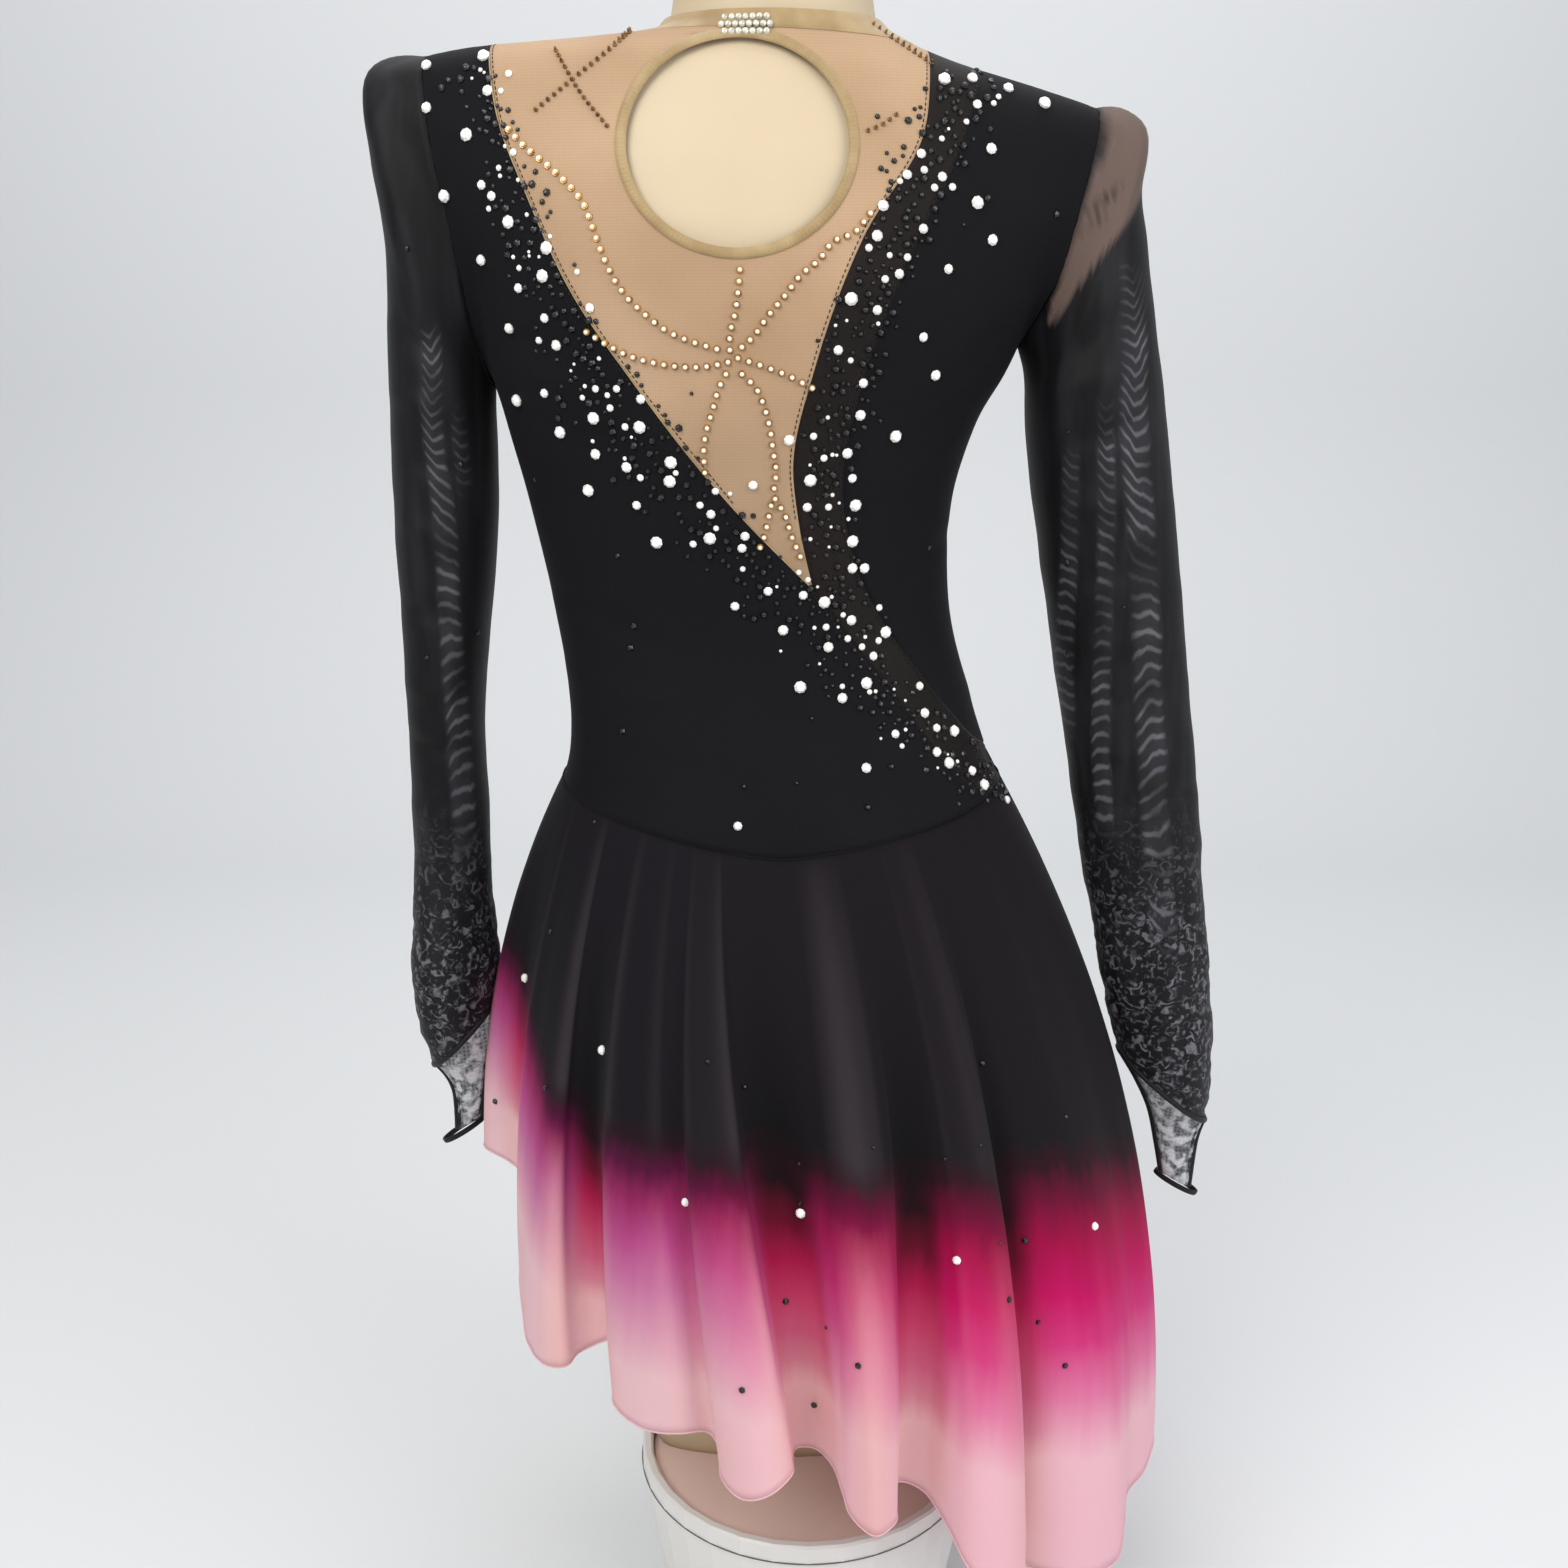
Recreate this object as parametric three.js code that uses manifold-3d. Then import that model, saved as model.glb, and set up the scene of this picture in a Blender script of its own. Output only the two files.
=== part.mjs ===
// Figure skating dress with a flared, uneven skirt, on a limbless dress form and its round base.
// Millimetres, +Z up. The back of the dress faces -Y and the wearer's left is at -X.
// The origin is on the floor, under the centre of the base.
import * as THREE from 'three';
import Module from 'manifold-3d';
import { mergeVertices } from 'three/addons/utils/BufferGeometryUtils.js';

const wasm = await Module();
wasm.setup();
const { Manifold } = wasm;

// ---------------------------------------------------------------- driving dimensions
const CLOTH = 1.6;            // thickness of every cloth wall
const EASE = 1.5;             // space between the cloth and the form
const SEAM = 0.3;             // space between pieces that are sewn together
const BINDING_RISE = 1.2;     // how far the elastic bindings stand out from the yoke
const CLASP_RISE = 3.0;       // how far the neck clasp stands out from the yoke
const TORSO_POINTS = 34;      // points round a section of the torso and the form
const SLEEVE_POINTS = 16;     // points round a sleeve section
const FOLD_POINTS = 6;        // points across one flute of the skirt
const FAR = 400;              // reach of a cutting prism past the dress

const COLLAR_BOTTOM = 986.2;
const COLLAR_TOP = 996.5;
const CLASP = { x: -34, z: 990.6, halfWidth: 14.5, halfHeight: 5.6 };
const KEYHOLE = { x: -38, z: 928.5, halfWidth: 55.5, halfHeight: 50.5, binding: 5.5 };
const WAIST_SIDE = 583;       // height of the waist seam at the side seams
const WAIST_DIP_BACK = 23;    // how far it falls at the centre back
const WAIST_DIP_FRONT = 10;   // and at the centre front
const WAIST_POWER = 1.35;     // how pointed the dip is (1 is a V)
const WAIST_REACH = [-160, 130];   // where the cut along the waist seam starts and ends
const SLEEVE_CUTS = [735, 570];    // heights where each sleeve is divided into three nodes

const BASE = {
  height: 120, rim: 110, rimDepth: 13, lip: 7, foot: 92, footRound: 3, floor: 107.7, groove: 1.4,
  rimRound: 1.5, plateGap: 0.5, plateRound: 1,
  side: [[98, 32], [103, 60], [107, 88]],   // radius and height up the curved side
};
const PLATE_TOP = 113;
const BASE_SIDES = 32;
const LOOP = { halfWidth: 16.3, halfDepth: 7.5, band: 3.4, thickness: 1.5, y: 5.5 };

// ---------------------------------------------------------------- tables of sections
// Torso, from below the waist seam to the neck: the left and right ends of each section,
// how far it reaches back and forward, and the power of its rounded shape (2 is an ellipse).
const TORSO = [
  // leftX leftZ rightX rightZ back front power
  [-156, 545, 130, 545, -101, 92, 2.1],
  [-149, 572, 118, 572, -97, 89, 2.1],
  [-141, 600, 105, 600, -89, 83, 2.1],
  [-141, 638, 92, 638, -79, 77, 2.1],
  [-147.5, 685, 80.5, 685, -75, 78, 2.1],
  [-158, 740, 80, 740, -81, 92, 2.15],
  [-169, 785, 92, 785, -88, 108, 2.2],
  [-177, 814, 108, 814, -91, 112, 2.2],
  [-187, 851, 124, 850, -92, 104, 2.3],
  [-203, 893, 143, 887, -87, 84, 2.3],
  [-222, 928, 158, 916, -78, 68, 2.2],
  [-231, 950, 168, 934, -70, 57, 2.1],
  [-225, 969, 160, 947, -64, 51, 2.0],
  [-190, 979, 126, 959, -60, 49, 2.0],
  [-130, 984, 80, 972, -55, 48, 2.0],
  [-88, 988, 47, 985, -51, 47, 2.0],
  [-78, 994, 37, 993, -49.5, 46, 2.0],
  [-76, 1010, 35, 1010, -49, 45, 2.0],
];

// The dress form below the waist, inside the skirt, from the base plate up.
const FORM_HIPS = [
  // leftX rightX z back front power
  [-97, 66, 113.3, -17, 82, 2.0],
  [-102, 71, 122, -21, 85, 2.0],
  [-126, 98, 200, -50, 96, 2.0],
  [-147, 120, 300, -80, 100, 2.05],
  [-156, 131, 400, -98, 100, 2.1],
  [-157, 132, 470, -104, 96, 2.1],
];

// The neck of the form above the collar, closed by a rounded top.
const FORM_NECK = [
  // leftX rightX z back front power
  [-72, 31, 1012, -46, 42, 2.0],
  [-70, 29, 1035, -45, 42, 2.0],
  [-69, 28, 1052, -44, 41, 2.0],
  [-64, 23, 1058, -39, 36, 2.0],
  [-52, 11, 1061, -28, 26, 2.0],
];

// Sleeves, from inside the shoulder to the wrist: the inner and outer ends of each section.
const LEFT_SLEEVE = [
  // innerX innerZ outerX outerZ back front
  [-165, 832, -176, 966, -37, 33],
  [-172, 818, -205, 977, -40, 38],
  [-176, 808, -228, 975, -44, 43],
  [-177, 799, -238, 962, -47, 47],
  [-177.5, 788, -236, 930, -48, 49],
  [-177.5, 774, -231.5, 890, -47, 48],
  [-177.7, 758, -233, 842, -45, 45],
  [-178.5, 735, -235, 789, -43, 42],
  [-182, 700, -236, 735, -41, 40],
  [-187.5, 660, -236, 680, -39, 38],
  [-192.5, 612, -236, 622, -36, 35],
  [-192.5, 560, -237, 565, -33, 33],
  [-193, 510, -239, 513, -31, 31],
  [-191.5, 480, -242, 484, -31, 31],
  [-190, 461, -244, 452, -31, 31],
  [-193, 445, -241, 421, -29, 29],
  [-195, 434, -234, 394, -26, 26],
];
const RIGHT_SLEEVE = [
  // innerX innerZ outerX outerZ back front
  [112, 838, 128, 944, -35, 31],
  [116, 825, 156, 952, -38, 36],
  [119, 815, 171, 949, -42, 41],
  [120.5, 804, 180, 938, -46, 46],
  [121, 792, 178, 913, -48, 49],
  [122, 778, 182, 886, -48, 49],
  [124, 761, 190, 842, -46, 46],
  [128, 737, 199.5, 789, -44, 43],
  [134, 702, 208, 735, -42, 41],
  [141, 662, 216, 680, -40, 39],
  [149, 619, 224, 624, -38, 37],
  [159, 562, 233, 565, -36, 35],
  [168, 514, 239, 513, -34, 34],
  [175.5, 482, 244, 480, -33, 33],
  [182.5, 446, 249, 440, -32, 32],
  [190, 416, 253.5, 398, -30, 30],
  [195, 402, 251.5, 355, -25, 25],
];

// Hand points: mesh tongues that narrow from the slanted wrist to the finger loop.
const LEFT_HAND_POINT = [
  // innerX innerZ outerX outerZ bulge
  [-196, 430.5, -232.5, 391.5, 17],
  [-197, 414, -227.5, 385, 13],
  [-201, 394, -224, 378, 9],
  [-204, 377, -222, 368, 7],
  [-206.5, 356.5, -222, 346.5, 5],
];
const RIGHT_HAND_POINT = [
  // innerX innerZ outerX outerZ bulge
  [198, 398, 250.5, 351.5, 17],
  [208, 381, 248.5, 345, 14],
  [217, 361, 247, 337, 10],
  [223, 336, 246, 324, 7],
  [227, 316.5, 245, 306.1, 5],
];
const LEFT_LOOP = { x: -219.2, z: 343.8, tilt: 33 };
const RIGHT_LOOP = { x: 238.2, z: 305.7, tilt: -30 };

// Skirt flutes in order round the hem, from the right side through the back to the front.
// Each has a crest and then a valley, with its bearing from +X, reach and height at the hem.
const FLUTES = [
  // crestBearing crestReach crestZ valleyBearing valleyReach valleyZ
  [-4, 231, 130, -20, 214, 128],
  [-36, 219, 124, -50, 178, 142],
  [-59, 214, 150, -69, 172, 206],
  [-81, 217, 218, -87.5, 166, 228],
  [-97, 214, 236, -107, 182, 249],
  [-117, 199, 253, -127, 178, 255],
  [-138, 190, 257, -147, 180, 262],
  [-156, 192, 266, -166, 178, 322],
  [-177, 204, 341, -190, 184, 345],
  [-203, 201, 334, -215, 172, 322],
  [-228, 199, 304, -240, 170, 288],
  [-254, 199, 268, -265, 172, 256],
  [-280, 203, 234, -292, 176, 214],
  [-306, 211, 184, -318, 184, 164],
  [-334, 223, 144, -348, 203, 134],
];
const SKIRT_ROWS = [0, 0.07, 0.16, 0.28, 0.43, 0.6, 0.8, 1];
const FLARE_POWER = 2.15;     // how soon the skirt swings out below the waist seam
const FLUTE_POWER = 1.35;     // how late its flutes deepen
const SKIRT_TRIM = 1;         // what is cut off its top edge to follow the waist seam

// Seams of the bodice, seen along Y, from the top down.
const V_LEFT = [[-166, 981], [-159, 940], [-145, 905], [-122, 856], [-95, 817], [-42, 749], [0.7, 704]];
const V_RIGHT = [[60, 974], [55, 932], [26, 885], [1, 820], [-10, 770], [-7, 740], [0.7, 704]];
const BAND_EDGE = [[88, 968], [74, 925], [46, 867], [24, 806], [16, 760], [24, 716], [62, 652], [112, 597]];
const DIAGONAL = [[0.7, 704], [34, 659], [68, 618], [104, 580]];
const FRONT_SCOOP = [[-166, 981], [-156, 935], [-118, 888], [-55, 866], [8, 876], [44, 915], [60, 974]];
const LEFT_ARMHOLE = [
  [-204, 1010], [-198, 940], [-188, 880], [-178.5, 818], [-173.5, 796], [-168, 740], [-168, 300],
];
const RIGHT_ARMHOLE = [
  [153, 1010], [150, 945], [141, 903], [131, 858], [121, 820], [110.5, 797], [108, 740], [130, 600],
  [140, 300],
];

// How the cuts run on past these seams: above the neck, below the armpits and past the right waist.
const CUT_TOP = 1010;
const ARMHOLE_FOOT = 300;
const YOKE_LEFT_TOP = [-167, CUT_TOP];
const YOKE_RIGHT_TOP = [60, CUT_TOP];
const BAND_TOP = [90, CUT_TOP];
const BAND_FOOT = [140, 570];
const DIAGONAL_FOOT = [126, 557];
const PANEL_FOOT = 500;

// ---------------------------------------------------------------- finishes
const FINISHES = {
  blackCloth: { color: 0x201e24, roughness: 0.85 },
  blackMesh: { color: 0x3a3230, roughness: 0.8 },
  powerMesh: { color: 0x1c1b20, roughness: 0.6 },
  nudeMesh: { color: 0xd0b08c, roughness: 0.75 },
  binding: { color: 0xc6a87a, roughness: 0.7 },
  crystal: { color: 0xe8e6e2, roughness: 0.15 },
  chiffon: { color: 0xa83268, roughness: 0.8 },
  formShell: { color: 0xe8d6ba, roughness: 0.6 },
  whitePlastic: { color: 0xe2e0dc, roughness: 0.4 },
  taupePlate: { color: 0xb09992, roughness: 0.7 },
};

// ---------------------------------------------------------------- rings and solids
const signedPower = (value, power) => Math.sign(value) * Math.abs(value) ** power;

/** One closed section: an oval of the given power between a left and a right end point. */
function section(left, right, back, front, power, count) {
  const middle = new THREE.Vector3(left[0] + right[0], 0, left[1] + right[1]).multiplyScalar(0.5);
  const half = new THREE.Vector3(right[0] - left[0], 0, right[1] - left[1]).multiplyScalar(0.5);
  return Array.from({ length: count }, (_, i) => {
    const angle = (i / count) * 2 * Math.PI;
    const across = signedPower(Math.cos(angle), 2 / power);
    const deep = Math.abs(Math.sin(angle)) ** (2 / power);
    const point = middle.clone().addScaledVector(half, across);
    point.y = deep * (Math.sin(angle) < 0 ? back : front);
    return point;
  });
}

/** Rings moved out along the surface, or in where the distance is negative. */
function offsetRings(rings, distance) {
  const last = rings.length - 1;
  return rings.map((ring, row) => ring.map((point, i) => {
    const around = ring[(i + 1) % ring.length].clone().sub(ring[(i + ring.length - 1) % ring.length]);
    const along = rings[Math.min(row + 1, last)][i].clone().sub(rings[Math.max(row - 1, 0)][i]);
    return point.clone().addScaledVector(around.cross(along).normalize(), distance);
  }));
}

/** A solid from a list of points and triangles, turned outward if it is inside out. */
function solidFrom(points, triangles) {
  const volume = triangles.reduce((sum, [a, b, c]) => {
    return sum + points[a].dot(points[b].clone().cross(points[c]));
  }, 0);
  const turned = volume < 0 ? triangles.map(([a, b, c]) => [a, c, b]) : triangles;
  return new Manifold(new wasm.Mesh({
    numProp: 3,
    vertProperties: new Float32Array(points.flatMap((point) => point.toArray())),
    triVerts: new Uint32Array(turned.flat()),
  }));
}

/** A solid through a stack of closed rings, capped at both ends. */
function stackSolid(rings) {
  const count = rings[0].length;
  const points = rings.flat();
  const triangles = [];
  for (let row = 0; row < rings.length - 1; row += 1) {
    for (let i = 0; i < count; i += 1) {
      const a = row * count + i;
      const b = row * count + (i + 1) % count;
      triangles.push([a, b, b + count], [a, b + count, a + count]);
    }
  }
  for (const [row, flip] of [[0, true], [rings.length - 1, false]]) {
    const centre = points.length;
    const sum = rings[row].reduce((total, point) => total.add(point), new THREE.Vector3());
    points.push(sum.divideScalar(count));
    for (let i = 0; i < count; i += 1) {
      const a = row * count + i;
      const b = row * count + (i + 1) % count;
      triangles.push(flip ? [b, a, centre] : [a, b, centre]);
    }
  }
  return solidFrom(points, triangles);
}

/** A solid through matching outer and inner rings: an open tube with a real wall. */
function tubeSolid(outer, inner) {
  const count = outer[0].length;
  const loop = [...outer, ...inner.slice().reverse()];
  const points = loop.flat();
  const triangles = [];
  for (let row = 0; row < loop.length; row += 1) {
    const next = (row + 1) % loop.length;
    for (let i = 0; i < count; i += 1) {
      const j = (i + 1) % count;
      const [a, b] = [row * count + i, row * count + j];
      const [c, d] = [next * count + i, next * count + j];
      triangles.push([a, b, d], [a, d, c]);
    }
  }
  return solidFrom(points, triangles);
}

/** The solid of a three.js geometry that closes on itself. */
function geometrySolid(geometry) {
  const bare = geometry.clone();
  bare.deleteAttribute('normal');
  bare.deleteAttribute('uv');
  const merged = mergeVertices(bare, 1e-4);
  return new Manifold(new wasm.Mesh({
    numProp: 3,
    vertProperties: new Float32Array(merged.attributes.position.array),
    triVerts: new Uint32Array(merged.index.array),
  }));
}

/** A prism along Y over an outline in X and Z. */
function prism(outline, fromY, toY) {
  const shape = new THREE.Shape(outline.map(([x, z]) => new THREE.Vector2(x, z)));
  const geometry = new THREE.ExtrudeGeometry(shape, { depth: toY - fromY, bevelEnabled: false });
  geometry.rotateX(Math.PI / 2);
  geometry.translate(0, toY, 0);
  return geometrySolid(geometry);
}

/** A seam line through a few points, smoothed. */
function smooth(points, divisions = 11) {
  const curve = new THREE.SplineCurve(points.map(([x, z]) => new THREE.Vector2(x, z)));
  return curve.getSpacedPoints(divisions).map((point) => [point.x, point.y]);
}

/** A blade as wide as a seam's gap, along a line in X and Z. */
function seamBlade(line, fromY, toY) {
  const sides = [[], []];
  line.forEach(([x, z], i) => {
    const before = line[Math.max(i - 1, 0)];
    const after = line[Math.min(i + 1, line.length - 1)];
    const along = new THREE.Vector2(after[0] - before[0], after[1] - before[1]).normalize();
    sides[0].push([x - along.y * SEAM / 2, z + along.x * SEAM / 2]);
    sides[1].push([x + along.y * SEAM / 2, z - along.x * SEAM / 2]);
  });
  return prism([...sides[0], ...sides[1].reverse()], fromY, toY);
}

function oval(centreX, centreZ, halfWidth, halfHeight, count = 34) {
  return Array.from({ length: count }, (_, i) => {
    const angle = (i / count) * 2 * Math.PI;
    return [centreX + halfWidth * Math.cos(angle), centreZ + halfHeight * Math.sin(angle)];
  });
}

const group = new THREE.Group();
group.name = 'figure_skating_dress_on_form';

/** Adds a solid to the part as a named mesh with its own material. */
function addPiece(name, solid, finish) {
  const mesh = solid.getMesh();
  const geometry = new THREE.BufferGeometry();
  const count = mesh.numProp;
  const positions = new Float32Array((mesh.vertProperties.length / count) * 3);
  for (let i = 0; i < positions.length / 3; i += 1) {
    positions.set(mesh.vertProperties.subarray(i * count, i * count + 3), i * 3);
  }
  geometry.setAttribute('position', new THREE.BufferAttribute(positions, 3));
  geometry.setIndex(new THREE.BufferAttribute(new Uint32Array(mesh.triVerts), 1));
  geometry.computeVertexNormals();
  const piece = new THREE.Mesh(geometry, new THREE.MeshStandardMaterial(FINISHES[finish]));
  piece.name = name;
  group.add(piece);
}

// ---------------------------------------------------------------- bodice and sleeves
const torsoRings = TORSO.map(([leftX, leftZ, rightX, rightZ, back, front, power]) => {
  return section([leftX, leftZ], [rightX, rightZ], back, front, power, TORSO_POINTS);
});
const torsoOuter = stackSolid(torsoRings);
const torsoInner = stackSolid(offsetRings(torsoRings, -CLOTH));

function sleeveRings(table) {
  return table.map(([innerX, innerZ, outerX, outerZ, back, front]) => {
    const ends = [[innerX, innerZ], [outerX, outerZ]].sort((one, other) => one[0] - other[0]);
    return section(...ends, back, front, 2, SLEEVE_POINTS);
  });
}

/** The space inside a sleeve, which runs out past its open wrist. */
function sleeveVoid(rings) {
  const inner = offsetRings(rings, CLOTH);
  const last = inner[inner.length - 1];
  const before = inner[inner.length - 2];
  inner.push(last.map((point, i) => point.clone().multiplyScalar(1.5).addScaledVector(before[i], -0.5)));
  return stackSolid(inner);
}

const leftRings = sleeveRings(LEFT_SLEEVE);
const rightRings = sleeveRings(RIGHT_SLEEVE);
const dressOuter = torsoOuter.add(stackSolid(leftRings)).add(stackSolid(rightRings));
const dressInner = torsoInner.add(sleeveVoid(leftRings)).add(sleeveVoid(rightRings));
const leftArmhole = smooth(LEFT_ARMHOLE, 16);
const rightArmhole = smooth(RIGHT_ARMHOLE, 18);
const wall = dressOuter.subtract(dressInner)
  .subtract(seamBlade(leftArmhole, -FAR, FAR))
  .subtract(seamBlade(rightArmhole, -FAR, FAR));

const leftSide = prism([...leftArmhole, [-FAR, ARMHOLE_FOOT], [-FAR, CUT_TOP]], -FAR, FAR);
const rightSide = prism([...rightArmhole, [FAR, ARMHOLE_FOOT], [FAR, CUT_TOP]], -FAR, FAR);

/** Adds one sleeve as three nodes, from the armhole to the elbow, the forearm and the wrist. */
function addSleeve(name, sleeve) {
  const tops = [CUT_TOP, ...SLEEVE_CUTS];
  const bottoms = [...SLEEVE_CUTS.map((height) => height + SEAM), ARMHOLE_FOOT];
  ['upper', 'middle', 'wrist'].forEach((part, i) => {
    const [top, bottom] = [tops[i], bottoms[i]];
    const slab = prism([[-FAR, bottom], [FAR, bottom], [FAR, top], [-FAR, top]], -FAR, FAR);
    addPiece(`${name}_${part}`, sleeve.intersect(slab), 'powerMesh');
  });
}

addSleeve('left_sleeve', wall.intersect(leftSide));
addSleeve('right_sleeve', wall.intersect(rightSide));

/** Height of the waist seam at a place across the waist, a shallow V with a soft point. */
function waistHeight(x, dip) {
  const [left, right] = [TORSO[1][0], TORSO[1][2]];
  const across = Math.abs(2 * x - left - right) / (right - left);
  return WAIST_SIDE - dip * Math.max(0, 1 - across ** WAIST_POWER);
}

function waistLine(dip) {
  const [from, to] = WAIST_REACH;
  const steps = 20;
  return Array.from({ length: steps + 1 }, (_, i) => {
    const x = from + ((to - from) * i) / steps;
    return [x, waistHeight(x, dip)];
  });
}

/** The part of the dress between the armholes and between two heights, on one side of Y = 0. */
function bodiceHalf(dip, fromY, toY) {
  const [right, left] = [[FAR, WAIST_SIDE], [-FAR, WAIST_SIDE]];
  const outline = [...waistLine(dip), right, [FAR, COLLAR_BOTTOM], [-FAR, COLLAR_BOTTOM], left];
  return wall.subtract(leftSide).subtract(rightSide).intersect(prism(outline, fromY, toY));
}

const vLeft = smooth(V_LEFT);
const vRight = smooth(V_RIGHT);
const bandEdge = smooth(BAND_EDGE);
const diagonal = smooth(DIAGONAL, 4);
const frontScoop = smooth(FRONT_SCOOP, 12);
const backSeams = [
  [YOKE_LEFT_TOP, ...vLeft],
  [YOKE_RIGHT_TOP, ...vRight],
  [BAND_TOP, ...bandEdge, BAND_FOOT],
  [...diagonal, DIAGONAL_FOOT],
];
const back = backSeams.reduce((rest, line) => rest.subtract(seamBlade(line, -FAR, 0)),
  bodiceHalf(WAIST_DIP_BACK, -FAR, -SEAM / 2));
const front = bodiceHalf(WAIST_DIP_FRONT, SEAM / 2, FAR)
  .subtract(seamBlade([YOKE_LEFT_TOP, ...frontScoop, YOKE_RIGHT_TOP], 0, FAR));

const keyholeOutline = (extra) => {
  return oval(KEYHOLE.x, KEYHOLE.z, KEYHOLE.halfWidth + extra, KEYHOLE.halfHeight + extra);
};
const clasp = prism(oval(CLASP.x, CLASP.z, CLASP.halfWidth, CLASP.halfHeight, 14), -FAR, 0);
const claspPlace = prism(
  oval(CLASP.x, CLASP.z, CLASP.halfWidth + SEAM, CLASP.halfHeight + SEAM, 14), -FAR, 0);
const yokeRegion = prism(
  [YOKE_LEFT_TOP, ...vLeft, ...vRight.slice(0, -1).reverse(), YOKE_RIGHT_TOP], -FAR, 0);
const backYoke = back.intersect(yokeRegion)
  .subtract(prism(keyholeOutline(KEYHOLE.binding + SEAM), -FAR, 0))
  .subtract(claspPlace);
addPiece('back_yoke', backYoke, 'nudeMesh');

const raised = (rise) => stackSolid(offsetRings(torsoRings, rise)).subtract(torsoInner);
const keyholeRing = prism(keyholeOutline(KEYHOLE.binding), -FAR, 0)
  .subtract(prism(keyholeOutline(0), -FAR, 0));
addPiece('keyhole_binding', raised(BINDING_RISE).intersect(keyholeRing).subtract(claspPlace), 'binding');

const collarBand = prism([[-FAR, COLLAR_BOTTOM + SEAM], [FAR, COLLAR_BOTTOM + SEAM],
  [FAR, COLLAR_TOP], [-FAR, COLLAR_TOP]], -FAR, FAR);
const collar = raised(BINDING_RISE).intersect(collarBand).subtract(claspPlace)
  .subtract(prism(keyholeOutline(KEYHOLE.binding + SEAM), -FAR, 0));
addPiece('collar_binding', collar, 'binding');
addPiece('neck_clasp', raised(CLASP_RISE).intersect(clasp), 'crystal');

const bandRegion = prism([YOKE_RIGHT_TOP, ...vRight, ...diagonal.slice(1), DIAGONAL_FOOT, BAND_FOOT,
  ...bandEdge.slice().reverse(), BAND_TOP], -FAR, 0);
const rightRegion = prism([BAND_TOP, ...bandEdge, BAND_FOOT, [FAR, BAND_FOOT[1]], [FAR, CUT_TOP]], -FAR, 0);
const leftRegion = prism([[-FAR, CUT_TOP], YOKE_LEFT_TOP, ...vLeft, ...diagonal.slice(1), DIAGONAL_FOOT,
  [DIAGONAL_FOOT[0], PANEL_FOOT], [-FAR, PANEL_FOOT]], -FAR, 0);
addPiece('back_mesh_band', back.intersect(bandRegion), 'blackMesh');
addPiece('back_right_panel', back.intersect(rightRegion), 'blackCloth');
addPiece('back_left_panel', back.intersect(leftRegion), 'blackCloth');

const frontYokeRegion = prism([YOKE_LEFT_TOP, ...frontScoop, YOKE_RIGHT_TOP], 0, FAR);
addPiece('front_yoke', front.intersect(frontYokeRegion), 'nudeMesh');
addPiece('front_panel', front.subtract(frontYokeRegion), 'blackCloth');

// ---------------------------------------------------------------- hand points and loops
/** A tongue of cloth through curved rows, bulging towards -Y. */
function tongue(table) {
  const across = 8;
  const rows = table.map(([innerX, innerZ, outerX, outerZ, bulge]) => {
    return Array.from({ length: across + 1 }, (_, i) => {
      const angle = (i / across) * Math.PI;
      const share = (1 - Math.cos(angle)) / 2;
      return new THREE.Vector3(
        innerX + (outerX - innerX) * share,
        -bulge * Math.sin(angle),
        innerZ + (outerZ - innerZ) * share,
      );
    });
  });
  const closed = rows.map((row, index) => {
    const next = rows[Math.min(index + 1, rows.length - 1)];
    const previous = rows[Math.max(index - 1, 0)];
    const back = row.map((point, i) => {
      const along = next[i].clone().sub(previous[i]);
      const beside = row[Math.min(i + 1, across)].clone().sub(row[Math.max(i - 1, 0)]);
      const normal = beside.cross(along).normalize();
      return point.clone().addScaledVector(normal, normal.y > 0 ? CLOTH : -CLOTH);
    });
    return [...row, ...back.reverse()];
  });
  return stackSolid(closed);
}

/** The finger loop, a flat elastic band bent into an oval and seen on its edge from the back. */
function fingerLoop(place) {
  const turn = THREE.MathUtils.degToRad(-place.tilt);
  const side = (inset) => [LOOP.band / 2, -LOOP.band / 2].map((height) => {
    return oval(0, 0, LOOP.halfWidth - inset, LOOP.halfDepth - inset, 20).map(([x, y]) => {
      const point = new THREE.Vector3(x, y, height);
      point.applyAxisAngle(new THREE.Vector3(0, 1, 0), turn);
      return point.add(new THREE.Vector3(place.x, LOOP.y, place.z));
    });
  });
  return tubeSolid(side(0), side(LOOP.thickness));
}

addPiece('left_hand_point', tongue(LEFT_HAND_POINT), 'powerMesh');
addPiece('right_hand_point', tongue(RIGHT_HAND_POINT), 'powerMesh');
addPiece('left_finger_loop', fingerLoop(LEFT_LOOP), 'blackCloth');
addPiece('right_finger_loop', fingerLoop(RIGHT_LOOP), 'blackCloth');

// ---------------------------------------------------------------- skirt
const mix = (from, to, share) => from + (to - from) * share;
const ease = (share) => (1 - Math.cos(Math.PI * share)) / 2;

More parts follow.
